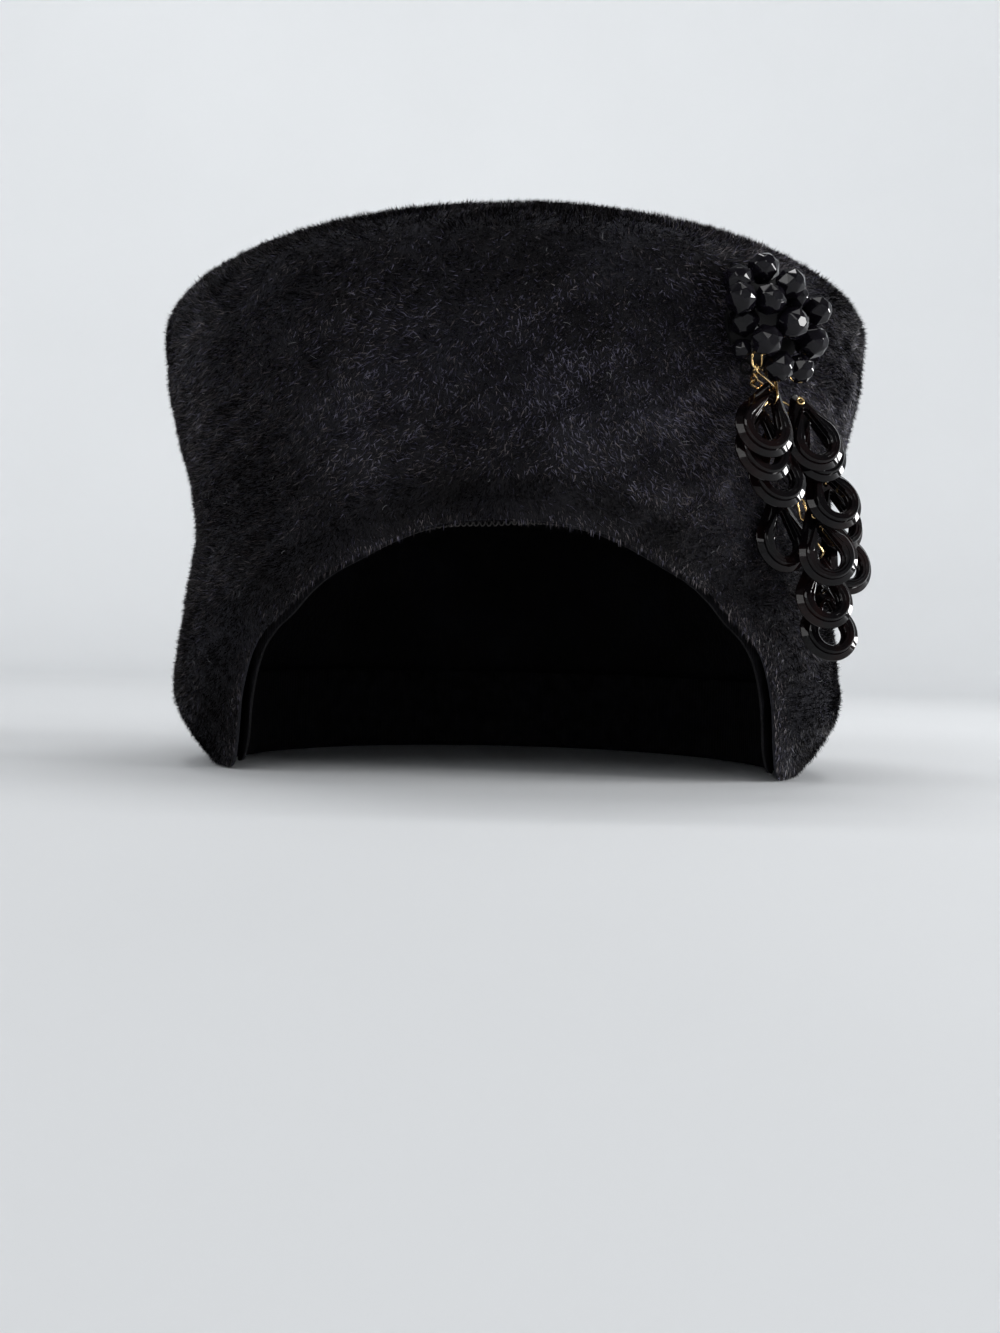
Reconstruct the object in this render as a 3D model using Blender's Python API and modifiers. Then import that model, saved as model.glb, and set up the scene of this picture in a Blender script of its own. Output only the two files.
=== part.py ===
# Tall pillbox hat in black velour felt with a black drop brooch.
# Metres, +Z up, the front of the hat toward -Y, the brooch on the wearer's left at +X.
# The origin is on the surface below the middle of the crown.

import math

import bmesh
import bpy
import numpy as np
from mathutils import Matrix, Vector

# felt shell
CROWN_WIDTH = 0.1888
CROWN_DEPTH = 0.2186
GIRTH_HEIGHT = 0.1130
GIRTH_FRONT_RISE = 0.0085
GIRTH_SIDE_RISE = 0.0012
DOME_RISE = 0.0270
DOME_ROUNDNESS = 1.80
FELT_THICKNESS = 0.0030
ARCH_RISE = 0.0620
SIDE_CURL = 0.0140
SIDE_CURL_REACH = 0.0240
ARCH_CURL = 0.0040
ARCH_CURL_REACH = 0.0140
CURL_ROUNDNESS = 2.1
SEAT_TRIM = 0.0030
SEAT_BLEND = 0.0080
FELT_COLUMNS = 40
FELT_ROWS = 10
CROWN_RINGS = 5

# wall outline: height as a share of the girth's, girth as a share of the crown's
WALL_FIELDS = ("height", "girth")
WALL_SHARES = (
    (0.000, 0.965),
    (0.160, 0.962),
    (0.390, 0.928),
    (0.555, 0.904),
    (0.630, 0.915),
    (0.770, 0.958),
    (0.860, 0.982),
    (1.000, 1.000),
)

# rim curve: degrees from the front, height as a share of ARCH_RISE
RIM_FIELDS = ("angle_deg", "height")
RIM_SHARES = (
    (0.0, 1.00),
    (8.0, 0.99),
    (15.0, 0.96),
    (20.0, 0.92),
    (27.0, 0.85),
    (33.0, 0.79),
    (38.0, 0.72),
    (42.0, 0.65),
    (48.0, 0.57),
    (52.0, 0.49),
    (55.0, 0.39),
    (58.0, 0.27),
    (61.0, 0.15),
    (66.0, 0.05),
    (75.0, 0.00),
    (90.0, 0.00),
    (180.0, 0.00),
)

# ribbon inside the rim
BAND_HEIGHT = 0.0240
BAND_THICKNESS = 0.0009
BAND_GAP = 0.0004
BAND_SEAT_LIFT = 0.0005
BAND_PEEK = 0.0006

# brooch plate
BROOCH_ANGLE_DEG = 34.7
BROOCH_BELOW_GIRTH = 0.0112
BROOCH_STANDOFF = 0.0026
BROOCH_TURN_DEG = -12.0
PLATE_RADIUS = 0.0102
PLATE_THICKNESS = 0.0010
PLATE_ACROSS = 0.0010
PLATE_UP = -0.0010
POST_RADIUS = 0.0011
POST_CLEARANCE = 0.0004
KEEPER_RADIUS = 0.0030
KEEPER_THICKNESS = 0.0016
KEEPER_GAP = 0.0017
STALK_RADIUS = 0.00035
STALK_FOOT_SHARE = 0.78
EYE_RADIUS = 0.0015
EYE_WIRE_RADIUS = 0.00035
EYE_OVERLAP = 0.0003
EYE_ANGLE_DEG = -22.3
PLATE_SIDES = 20
POST_SIDES = 8
POST_HOLE_SIDES = 16
KEEPER_SIDES = 12
EYE_SIDES = 12

# beads: place of the centre and size, as shares of BEAD_DIAMETER
BEAD_DIAMETER = 0.0071
BEAD_SIDES = 8
BEAD_RINGS = 6
BEAD_TABLE_SHARE = 0.82
BEAD_BORE_CLEARANCE = 0.00042
BORE_SIDES = 6
BEAD_SEAT_SHARE = 0.10
BEAD_SPIN_STEP_DEG = 19.0
BEAD_FIELDS = ("name", "across", "out", "up", "size")
BEADS = (
    ("bead_01", -1.26, 0.67, 0.94, 0.97),
    ("bead_02", -1.60, 1.33, 0.24, 1.00),
    ("bead_03", -0.34, 0.68, 1.40, 1.00),
    ("bead_04", 0.26, 1.30, 0.89, 0.95),
    ("bead_05", -0.56, 1.40, 0.30, 1.00),
    ("bead_06", -1.00, 0.67, -0.30, 1.00),
    ("bead_07", 0.27, 1.44, -0.36, 1.04),
    ("bead_08", 1.76, 0.66, 0.30, 0.95),
    ("bead_09", 1.51, 0.76, -0.71, 1.08),
    ("bead_10", -0.65, 1.40, -0.98, 1.00),
    ("bead_11", 0.08, 1.04, -1.66, 1.00),
    ("bead_12", 1.05, 0.84, -1.63, 0.90),
    ("bead_13", 0.92, 0.71, 0.63, 0.80),
    ("bead_14", -1.03, 0.64, -1.18, 0.68),
)

# teardrop rings, seen from the hole at the tip
DROP_LENGTH = 0.0195
DROP_WIDTH = 0.0148
DROP_TIP_RADIUS = 0.0021
DROP_FLANGE = 0.0013
DROP_TIER = 0.0011
DROP_TIER_INSET = 0.0014
DROP_TIER_TIP_DROP = 0.0026
DROP_TIER_TIP_RADIUS = 0.0010
DROP_HOLE_RADIUS = 0.0008
DROP_WINDOW_TOP = 0.0034
DROP_WINDOW_BOTTOM = 0.0106
DROP_WINDOW_TOP_RADIUS = 0.0007
DROP_WINDOW_RADIUS = 0.0030
DROP_WINDOW_STEP = 0.00035
DROP_ARC_STEPS = 8
DROP_TIP_STEPS = 2
DROP_HOLE_SIDES = 6

# place of each hole as shares of DROP_LENGTH, then turn, lean and swing in degrees
DROP_FIELDS = ("name", "across", "out", "up", "turn", "lean", "swing")
DROPS = (
    ("drop_01", 0.225, 0.172, -0.802, -16.0, 20.0, -19.0),
    ("drop_02", 0.773, 0.112, -0.881, -20.0, 19.0, 16.0),
    ("drop_03", 0.170, 0.043, -1.042, -13.0, 21.0, -4.0),
    ("drop_04", 0.454, -0.018, -1.326, -18.0, 21.0, 0.0),
    ("drop_05", 1.126, -0.085, -0.965, -17.0, 19.0, 12.0),
    ("drop_06", 1.180, -0.022, -1.578, -18.0, 22.0, 26.0),
    ("drop_07", 0.930, -0.335, -2.027, -12.0, 13.0, 3.0),
    ("drop_08", 1.173, 0.039, -2.206, -26.0, 14.0, 18.0),
    ("drop_09", 1.843, -0.234, -2.280, -15.0, 15.0, 15.0),
    ("drop_10", 1.663, -0.237, -1.776, -8.0, 18.0, 16.0),
    ("drop_11", 1.411, -0.090, -2.717, -22.0, 20.0, 3.0),
    ("drop_12", 1.707, -0.238, -3.110, -25.0, 20.0, 2.0),
)

# gold chain
LINK_LENGTH = 0.0056
LINK_WIDTH = 0.0021
LINK_WIRE_RADIUS = 0.00025
LINK_BITE = 0.00012
LINK_SIDES = 10
JUMP_RING_RADIUS = 0.0016
ARM_RADIUS = 0.00030
PIN_STANDOFF = 0.0019
PIN_END = 0.0003
PIN_HEAD_GAP = 0.00035
PIN_HEAD_RADIUS = 0.0010
PIN_HEAD_HEIGHT = 0.0006

# outline of a pin's round head: height as a share of PIN_HEAD_HEIGHT, width of PIN_HEAD_RADIUS
PIN_HEAD_FIELDS = ("height", "width")
PIN_HEAD_SHARES = (
    (0.05, 1.0),
    (0.60, 1.0),
    (1.00, 0.5),
)

# chosen points of the chain, across, out and up as shares of DROP_LENGTH
CHAIN_ROUTE_SHARES = (
    (-0.15, 0.105, -0.735),
    (0.03, 0.030, -0.730),
    (0.28, -0.040, -0.750),
    (0.50, -0.082, -0.850),
    (0.75, -0.154, -1.060),
    (0.94, -0.231, -1.330),
    (1.04, -0.251, -1.590),
    (1.09, -0.160, -1.920),
    (1.15, -0.115, -2.230),
    (1.30, -0.056, -2.510),
)

# arms of the chain: how far along the route each one leaves it, the points it passes,
# the rings it holds in turn, the side it comes from and whether its end is a round head
ARM_FIELDS = ("along", "via", "holds", "from_front", "head")
CHAIN_ARMS = (
    (0.26, (), ("drop_01",), False, False),
    (0.36, ((0.45, -0.110, -0.900), (0.33, -0.120, -1.000)), ("drop_03",), False, False),
    (0.31, (), ("drop_02",), False, True),
    (0.47, ((0.95, -0.215, -1.000),), ("drop_05",), False, False),
    (0.58, ((0.70, -0.190, -1.370),), ("drop_04",), False, False),
    (0.62, (), ("drop_06",), False, False),
    (0.68, ((1.40, -0.360, -1.720),), ("drop_10",), False, False),
    (0.77, (), ("drop_07",), True, False),
    (0.89, (), ("drop_08",), False, True),
    (0.93, ((1.35, -0.190, -2.310), (1.60, -0.360, -2.330)), ("drop_09",), False, False),
    (1.00, ((1.37, 0.020, -2.640),), ("drop_11", "drop_12"), True, False),
)
LAST_LINK_SHARES = (1.49, -0.400, -2.950)


def clear_scene():
    for thing in list(bpy.data.objects):
        bpy.data.objects.remove(thing, do_unlink=True)


def new_collection(name):
    group = bpy.data.collections.new(name)
    bpy.context.scene.collection.children.link(group)
    return group


def make_material(name, colour, roughness, metallic=0.0):
    material = bpy.data.materials.new(name)
    material.use_nodes = True
    shader = material.node_tree.nodes["Principled BSDF"]
    shader.inputs["Base Color"].default_value = (*colour, 1.0)
    shader.inputs["Roughness"].default_value = roughness
    shader.inputs["Metallic"].default_value = metallic
    return material


clear_scene()
PIECES = new_collection("pillbox_hat")
CUTTERS = new_collection("pillbox_hat_cutters")
FELT = make_material("black_felt", (0.012, 0.011, 0.012), 0.95)
RIBBON = make_material("black_ribbon", (0.015, 0.014, 0.015), 0.80)
BLACK_METAL = make_material("blackened_metal", (0.030, 0.030, 0.032), 0.35, 1.0)
JET = make_material("jet_glass", (0.010, 0.009, 0.012), 0.06)
GLOSS_PLASTIC = make_material("gloss_black_plastic", (0.014, 0.009, 0.009), 0.10)
GOLD = make_material("gold_wire", (0.80, 0.56, 0.25), 0.22, 1.0)


def add_object(name, data, material, group=None):
    thing = bpy.data.objects.new(name, data)
    (group or PIECES).objects.link(thing)
    if material is not None and not data.materials:
        data.materials.append(material)
    return thing


def hide_cutter(thing):
    thing.hide_render = True
    thing.display_type = "WIRE"
    return thing


def mesh_from(source, name, material, group=None):
    # the evaluated object as a plain mesh with its caps welded, in place of the source
    bpy.context.view_layer.update()
    graph = bpy.context.evaluated_depsgraph_get()
    mesh = bpy.data.meshes.new_from_object(source.evaluated_get(graph))
    work = bmesh.new()
    work.from_mesh(mesh)
    bmesh.ops.remove_doubles(work, verts=work.verts, dist=0.000002)
    bmesh.ops.recalc_face_normals(work, faces=work.faces)
    work.to_mesh(mesh)
    work.free()
    mesh.materials.clear()
    thing = add_object(name, mesh, material, group)
    thing.matrix_world = source.matrix_world.copy()
    bpy.data.objects.remove(source, do_unlink=True)
    return thing


def boolean(thing, cutter, operation):
    modifier = thing.modifiers.new(operation.lower(), "BOOLEAN")
    modifier.operation = operation
    modifier.solver = "EXACT"
    modifier.object = cutter
    return modifier


def smooth_table(rows, x):
    # smooth curve through the rows of a two-column table
    xs = np.array([row[0] for row in rows])
    ys = np.array([row[1] for row in rows])
    slopes = np.gradient(ys, xs)
    x = np.clip(x, xs[0], xs[-1])
    i = np.clip(np.searchsorted(xs, x, side="right") - 1, 0, len(xs) - 2)
    h = xs[i + 1] - xs[i]
    t = (x - xs[i]) / h
    start = (2 * t**3 - 3 * t**2 + 1) * ys[i] + (t**3 - 2 * t**2 + t) * h * slopes[i]
    end = (3 * t**2 - 2 * t**3) * ys[i + 1] + (t**3 - t**2) * h * slopes[i + 1]
    return start + end


def smoothstep(x):
    x = np.clip(x, 0.0, 1.0)
    return x * x * (3.0 - 2.0 * x)


def rim_height(angle):
    share = smooth_table(RIM_SHARES, np.degrees(np.abs(angle)))
    return ARCH_RISE * np.clip(share, 0.0, None)


def girth_height(angle):
    return GIRTH_HEIGHT + GIRTH_FRONT_RISE * np.cos(angle) + GIRTH_SIDE_RISE * np.sin(angle)


MEAN_RADIUS = (CROWN_WIDTH + CROWN_DEPTH) / 4.0
RIM_ANGLES = np.linspace(-math.pi, math.pi, 2881)
RIM_HEIGHTS = rim_height(RIM_ANGLES)


def rim_distance(angle, z):
    # shortest way from each wall point to the rim, on the unrolled wall
    gaps = []
    for a, h in zip(angle, z):
        ways = np.hypot((RIM_ANGLES - a) * MEAN_RADIUS, RIM_HEIGHTS - h)
        gaps.append(np.min(ways))
    return np.where(z > rim_height(angle), gaps, 0.0)


def curl_depth(rim_z):
    return SIDE_CURL + (ARCH_CURL - SIDE_CURL) * rim_z / ARCH_RISE


def wall_points(angle, z, rim_z):
    # outer face of the felt below the girth
    share = smooth_table(WALL_SHARES, z / girth_height(angle))
    reach = SIDE_CURL_REACH + (ARCH_CURL_REACH - SIDE_CURL_REACH) * rim_z / ARCH_RISE
    near = np.clip(1.0 - rim_distance(angle, z) / reach, 0.0, 1.0)
    curl = curl_depth(rim_z) * near**CURL_ROUNDNESS
    x = (CROWN_WIDTH / 2.0 * share - curl) * np.sin(angle)
    y = -(CROWN_DEPTH / 2.0 * share - curl) * np.cos(angle)
    return np.stack([x, y, z], axis=1)


def column_angles(columns):
    # columns spread evenly along the rim, so the steep sides of the arch get their share
    steps = np.hypot(np.diff(RIM_ANGLES) * MEAN_RADIUS, np.diff(RIM_HEIGHTS))
    along = np.concatenate([[0.0], np.cumsum(steps)])
    places = np.arange(columns) / columns
    at_rim = np.interp(places * along[-1], along, RIM_ANGLES)
    at_girth = -math.pi + 2.0 * math.pi * places
    return at_rim, at_girth


def loft(name, rings, cap=None):
    # a skin through closed rings of points, with an optional point that closes the last
    work = bmesh.new()
    lines = [[work.verts.new(p) for p in ring] for ring in rings]
    for lower, upper in zip(lines, lines[1:]):
        for k in range(len(lower)):
            n = (k + 1) % len(lower)
            work.faces.new((lower[k], lower[n], upper[n], upper[k]))
    if cap is not None:
        tip = work.verts.new(cap)
        last = lines[-1]
        for k in range(len(last)):
            work.faces.new((last[k], last[(k + 1) % len(last)], tip))
    bmesh.ops.recalc_face_normals(work, faces=work.faces)
    mesh = bpy.data.meshes.new(name)
    work.to_mesh(mesh)
    work.free()
    return mesh


def felt_rings():
    at_rim, at_girth = column_angles(FELT_COLUMNS)
    rim_z = rim_height(at_rim)
    low_z = rim_z - SEAT_TRIM * (1.0 - smoothstep(rim_z / SEAT_BLEND))
    rings = []
    for row in range(FELT_ROWS + 1):
        up = (row / FELT_ROWS) ** 1.3
        angle = at_rim + (at_girth - at_rim) * smoothstep(up)
        z = low_z + (girth_height(angle) - low_z) * up
        rings.append(wall_points(angle, z, rim_z))
    for ring in range(1, CROWN_RINGS + 1):
        t = ring / (CROWN_RINGS + 1.0)
        q = math.cos(t * math.pi / 2.0) ** 0.55
        z = GIRTH_HEIGHT + (girth_height(at_girth) - GIRTH_HEIGHT) * q
        z = z + DOME_RISE * (1.0 - q**DOME_ROUNDNESS) ** (1.0 / DOME_ROUNDNESS)
        x = CROWN_WIDTH / 2.0 * q * np.sin(at_girth)
        y = -CROWN_DEPTH / 2.0 * q * np.cos(at_girth)
        rings.append(np.stack([x, y, z], axis=1))
    return rings


def solidify(thing, thickness):
    modifier = thing.modifiers.new("thickness", "SOLIDIFY")
    modifier.thickness = thickness
    modifier.offset = -1.0
    modifier.use_rim = True
    modifier.use_even_offset = True
    return modifier


def brooch_normal():
    angle = math.radians(BROOCH_ANGLE_DEG)
    return math.atan2(math.sin(angle) / CROWN_WIDTH, math.cos(angle) / CROWN_DEPTH)


def brooch_point():
    angle = math.radians(BROOCH_ANGLE_DEG)
    height = girth_height(angle) - BROOCH_BELOW_GIRTH
    share = float(smooth_table(WALL_SHARES, np.array([height / girth_height(angle)]))[0])
    x = CROWN_WIDTH / 2.0 * share * math.sin(angle)
    y = -CROWN_DEPTH / 2.0 * share * math.cos(angle)
    return Vector((x, y, height))


def upright_frame(origin, heading):
    # local X runs across the wall, local Y out of it, local Z up
    frame = Matrix.Rotation(heading, 4, "Z") @ Matrix.Diagonal((1.0, -1.0, 1.0, 1.0))
    return Matrix.Translation(origin) @ frame


HANG_FRAME = upright_frame(brooch_point(), brooch_normal())
PLATE_FRAME = upright_frame(
    HANG_FRAME @ Vector((0.0, BROOCH_STANDOFF, 0.0)),
    brooch_normal() + math.radians(BROOCH_TURN_DEG),
)


def direction(frame, vector):
    return (frame.to_3x3() @ Vector(vector)).normalized()


def align(origin, axis, spin=0.0):
    # local Z along the axis
    turn = Vector(axis).to_track_quat("Z", "Y").to_matrix().to_4x4()
    return Matrix.Translation(origin) @ turn @ Matrix.Rotation(spin, 4, "Z")


def cylinder(name, radius, depth, sides, matrix, material, group=None):
    work = bmesh.new()
    size = {"radius1": radius, "radius2": radius, "depth": depth}
    bmesh.ops.create_cone(work, cap_ends=True, segments=sides, **size)
    mesh = bpy.data.meshes.new(name)
    work.to_mesh(mesh)
    work.free()
    thing = add_object(name, mesh, material, group)
    thing.matrix_world = matrix
    return thing


def wire_curve(name, paths, radius, bevel_resolution=1):
    # each path is (points, widths or None, closed)
    curve = bpy.data.curves.new(name, "CURVE")
    curve.dimensions = "3D"
    curve.bevel_depth = radius
    curve.bevel_resolution = bevel_resolution
    curve.use_fill_caps = True
    for points, widths, closed in paths:
        spline = curve.splines.new("POLY")
        spline.points.add(len(points) - 1)
        spline.use_cyclic_u = closed
        for k, point in enumerate(points):
            spline.points[k].co = (*point, 1.0)
            spline.points[k].radius = 1.0 if widths is None else widths[k]
    return add_object(name, curve, None)


def wire_mesh(name, paths, radius, material, group=None):
    source = wire_curve(name + "_wire", paths, radius)
    return mesh_from(source, name, material, group)


def build_felt():
    rings = felt_rings()
    top = (0.0, 0.0, GIRTH_HEIGHT + DOME_RISE)
    felt = add_object("felt_body", loft("felt_body", rings, top), FELT)
    solidify(felt, FELT_THICKNESS)
    bpy.ops.mesh.primitive_cube_add(size=1.0)
    slab = bpy.context.active_object
    slab.name = "seat_cutter"
    slab.scale = (CROWN_WIDTH * 1.5, CROWN_DEPTH * 1.5, SEAT_TRIM * 4.0)
    slab.location = (0.0, 0.0, -SEAT_TRIM * 2.0)
    for group in list(slab.users_collection):
        group.objects.unlink(slab)
    CUTTERS.objects.link(hide_cutter(slab))
    boolean(felt, slab, "DIFFERENCE")
    out = direction(PLATE_FRAME, (0.0, 1.0, 0.0))
    hole = cylinder(
        "post_hole_cutter",
        POST_RADIUS + POST_CLEARANCE,
        FELT_THICKNESS * 6.0,
        POST_HOLE_SIDES,
        align(PLATE_FRAME @ Vector((0.0, -BROOCH_STANDOFF - FELT_THICKNESS / 2.0, 0.0)), out),
        None,
        CUTTERS,
    )
    boolean(felt, hide_cutter(hole), "DIFFERENCE")
    return felt


def build_band():
    # the ribbon stands inside the rim and follows the rim curve
    angle, unused = column_angles(FELT_COLUMNS)
    rim_z = rim_height(angle)
    lift = rim_z / ARCH_RISE
    low = rim_z + BAND_SEAT_LIFT * (1.0 - smoothstep(lift * 4.0)) - BAND_PEEK * smoothstep(lift)
    share = smooth_table(WALL_SHARES, rim_z / girth_height(angle))
    inset = curl_depth(rim_z) + FELT_THICKNESS + BAND_GAP
    rings = []
    for part in (0.0, 1.0):
        x = (CROWN_WIDTH / 2.0 * share - inset) * np.sin(angle)
        y = -(CROWN_DEPTH / 2.0 * share - inset) * np.cos(angle)
        rings.append(np.stack([x, y, low + BAND_HEIGHT * part], axis=1))
    band = add_object("sweatband", loft("sweatband", rings), RIBBON)
    solidify(band, BAND_THICKNESS)
    return band


def bead_place(row):
    name, across, out, up, size = row
    # each stalk leans outward from its foot on the plate
    centre = Vector((across, out, up)) * BEAD_DIAMETER
    middle = Vector((PLATE_ACROSS, 0.0, PLATE_UP))
    from_middle = Vector((centre.x, 0.0, centre.z)) - middle
    foot = middle + from_middle * STALK_FOOT_SHARE
    foot.y = PLATE_THICKNESS / 2.0
    return name, centre, foot, size * BEAD_DIAMETER / 2.0


def eye_place():
    # the loop at the plate's lower edge, its angle measured from straight down
    turn = math.radians(EYE_ANGLE_DEG)
    reach = PLATE_RADIUS + EYE_RADIUS - EYE_OVERLAP
    across = PLATE_ACROSS + math.sin(turn) * reach
    up = PLATE_UP - math.cos(turn) * reach
    return Vector((across, PLATE_THICKNESS / 2.0, up))


def build_brooch_base():
    out = direction(PLATE_FRAME, (0.0, 1.0, 0.0))
    middle = Vector((PLATE_ACROSS, PLATE_THICKNESS / 2.0, PLATE_UP))
    place = align(PLATE_FRAME @ middle, out)
    plate = cylinder("brooch_base", PLATE_RADIUS, PLATE_THICKNESS, PLATE_SIDES, place, BLACK_METAL)
    reach = BROOCH_STANDOFF + FELT_THICKNESS + KEEPER_GAP + KEEPER_THICKNESS / 2.0
    middle = Vector((0.0, (PLATE_THICKNESS / 2.0 - reach) / 2.0, 0.0))
    length = reach + PLATE_THICKNESS / 2.0
    place = align(PLATE_FRAME @ middle, out)
    post = cylinder("post_part", POST_RADIUS, length, POST_SIDES, place, None, CUTTERS)
    place = align(PLATE_FRAME @ Vector((0.0, -reach, 0.0)), out)
    keeper = cylinder("keeper_part", KEEPER_RADIUS, KEEPER_THICKNESS, KEEPER_SIDES, place, None, CUTTERS)
    paths = []
    for row in BEADS:
        name, centre, foot, radius = bead_place(row)
        axis = (centre - foot).normalized()
        end = centre - axis * (radius * BEAD_SEAT_SHARE * 2.0)
        paths.append(([PLATE_FRAME @ foot, PLATE_FRAME @ end], None, False))
    stalks = wire_mesh("stalk_part", paths, STALK_RADIUS, None, CUTTERS)
    centre = eye_place()
    ring = []
    for k in range(EYE_SIDES):
        turn = 2.0 * math.pi * k / EYE_SIDES
        spoke = Vector((math.cos(turn), 0.0, math.sin(turn))) * EYE_RADIUS
        ring.append(PLATE_FRAME @ (centre + spoke))
    eye = wire_mesh("eye_part", [(ring, None, True)], EYE_WIRE_RADIUS, None, CUTTERS)
    for part in (post, keeper, stalks, eye):
        boolean(plate, hide_cutter(part), "UNION")
    return plate


def build_bead(row, number):
    name, centre, foot, radius = bead_place(row)
    axis = (centre - foot).normalized()
    work = bmesh.new()
    bmesh.ops.create_uvsphere(work, u_segments=BEAD_SIDES, v_segments=BEAD_RINGS, radius=radius)
    table = radius * math.cos(math.pi / BEAD_RINGS) * BEAD_TABLE_SHARE / 0.866
    levels = sorted({round(v.co.z, 7) for v in work.verts})
    for vert in work.verts:
        ring = levels.index(round(vert.co.z, 7))
        if ring % 2:
            vert.co = Matrix.Rotation(math.pi / BEAD_SIDES, 3, "Z") @ vert.co
        vert.co.z = max(-table, min(table, vert.co.z))
    bmesh.ops.triangulate(work, faces=[f for f in work.faces if len(f.verts) > 3])
    mesh = bpy.data.meshes.new(name)
    work.to_mesh(mesh)
    work.free()
    bead = add_object(name, mesh, JET)
    world_axis = direction(PLATE_FRAME, axis)
    spin = math.radians(BEAD_SPIN_STEP_DEG * number)
    bead.matrix_world = align(PLATE_FRAME @ centre, world_axis, spin)
    bore_end = -radius * BEAD_SEAT_SHARE * 2.0 + BEAD_BORE_CLEARANCE
    bore_length = radius * 1.2 + bore_end
    bore = cylinder(
        name + "_bore_cutter",
        STALK_RADIUS + BEAD_BORE_CLEARANCE,
        bore_length,
        BORE_SIDES,
        align(PLATE_FRAME @ (centre + axis * (bore_end - bore_length / 2.0)), world_axis, spin),
        None,
        CUTTERS,
    )
    boolean(bead, hide_cutter(bore), "DIFFERENCE")
    return bead


def teardrop(tip_radius, tip_y, low_radius, low_y):
    # outline around two circles, tangent to both
    lean = math.asin((low_radius - tip_radius) / (tip_y - low_y))
    points = []
    for k in range(DROP_ARC_STEPS + 1):
        turn = math.pi - lean + (math.pi + 2.0 * lean) * k / DROP_ARC_STEPS
        points.append((low_radius * math.cos(turn), low_y + low_radius * math.sin(turn)))
    for k in range(DROP_TIP_STEPS + 1):
        turn = lean + (math.pi - 2.0 * lean) * k / DROP_TIP_STEPS
        points.append((tip_radius * math.cos(turn), tip_y + tip_radius * math.sin(turn)))
    return points


def circle(radius, sides):
    turns = [2.0 * math.pi * k / sides for k in range(sides)]
    return [(radius * math.cos(turn), radius * math.sin(turn)) for turn in turns]


def plate_curve(name, outlines, thickness, low_z):
    # a flat plate with its holes, standing on low_z
    curve = bpy.data.curves.new(name, "CURVE")
    curve.dimensions = "2D"
    curve.fill_mode = "BOTH"
    curve.extrude = thickness / 2.0
    for outline in outlines:
        spline = curve.splines.new("POLY")
        spline.points.add(len(outline) - 1)
        spline.use_cyclic_u = True
        for k, point in enumerate(outline):
            spline.points[k].co = (point[0], point[1], 0.0, 1.0)
    thing = add_object(name, curve, None)
    thing.location = (0.0, 0.0, low_z + thickness / 2.0)
    return thing


def drop_mesh():
    # the hole is at the origin, the tip toward +Y and the front toward +Z
    half = DROP_WIDTH / 2.0
    low_y = -(DROP_LENGTH - DROP_TIP_RADIUS - half)
    window = teardrop(DROP_WINDOW_TOP_RADIUS, -DROP_WINDOW_TOP, DROP_WINDOW_RADIUS, -DROP_WINDOW_BOTTOM)
    outline = teardrop(DROP_TIP_RADIUS, 0.0, half, low_y)
    hole = circle(DROP_HOLE_RADIUS, DROP_HOLE_SIDES)
    flange = plate_curve("flange_outline", (outline, window, hole), DROP_FLANGE, -DROP_FLANGE)
    flange = mesh_from(flange, "flange_part", GLOSS_PLASTIC, CUTTERS)
    tier_outline = teardrop(DROP_TIER_TIP_RADIUS, -DROP_TIER_TIP_DROP, half - DROP_TIER_INSET, low_y)
    tier_window = teardrop(
        DROP_WINDOW_TOP_RADIUS + DROP_WINDOW_STEP,
        -DROP_WINDOW_TOP,
        DROP_WINDOW_RADIUS + DROP_WINDOW_STEP,
        -DROP_WINDOW_BOTTOM,
    )
    sunk = DROP_FLANGE / 2.0
    tier = plate_curve("tier_outline", (tier_outline, tier_window), DROP_TIER + sunk, -sunk)
    tier = mesh_from(tier, "tier_part", None, CUTTERS)
    boolean(flange, hide_cutter(tier), "UNION")
    joined = mesh_from(flange, "drop_pattern", GLOSS_PLASTIC, CUTTERS)
    hide_cutter(joined)
    joined.data.transform(joined.matrix_world)
    joined.matrix_world = Matrix.Identity(4)
    return joined.data


def drop_matrix(row):
    name, across, out, up, turn, lean, swing = row
    turn, lean, swing = math.radians(turn), math.radians(lean), math.radians(swing)
    face = Vector((math.sin(turn), math.cos(turn), 0.0))
    side = Vector((math.cos(turn), -math.sin(turn), 0.0))
    rise = Vector((0.0, 0.0, 1.0)) * math.cos(lean) - face * math.sin(lean)
    normal = face * math.cos(lean) + Vector((0.0, 0.0, 1.0)) * math.sin(lean)
    tip = rise * math.cos(swing) - side * math.sin(swing)
    wide = side * math.cos(swing) + rise * math.sin(swing)
    turned = Matrix((wide, tip, normal)).transposed().to_4x4()
    centre = Vector((across, out, up)) * DROP_LENGTH
    return HANG_FRAME @ Matrix.Translation(centre) @ turned


def build_drops():
    shared = drop_mesh()
    drops = {}
    for row in DROPS:
        drop = add_object(row[0], shared, GLOSS_PLASTIC)
        drop.matrix_world = drop_matrix(row)
        drops[row[0]] = drop
    return drops


def eye_centre():
    return PLATE_FRAME @ eye_place()


def route_points():
    # the first link bites the jump ring, which hangs from the eye
    points = [HANG_FRAME @ (Vector(p) * DROP_LENGTH) for p in CHAIN_ROUTE_SHARES]
    down = (points[0] - eye_centre()).normalized()
    points[0] = eye_centre() + down * (2.0 * JUMP_RING_RADIUS - LINK_BITE)
    return points


def along_route(points, distance):
    for a, b in zip(points, points[1:]):
        step = (b - a).length
        if distance <= step:
            return a + (b - a) * (distance / step), (b - a).normalized()
        distance -= step
    last = (points[-1] - points[-2]).normalized()
    return points[-1] + last * distance, last


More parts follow.
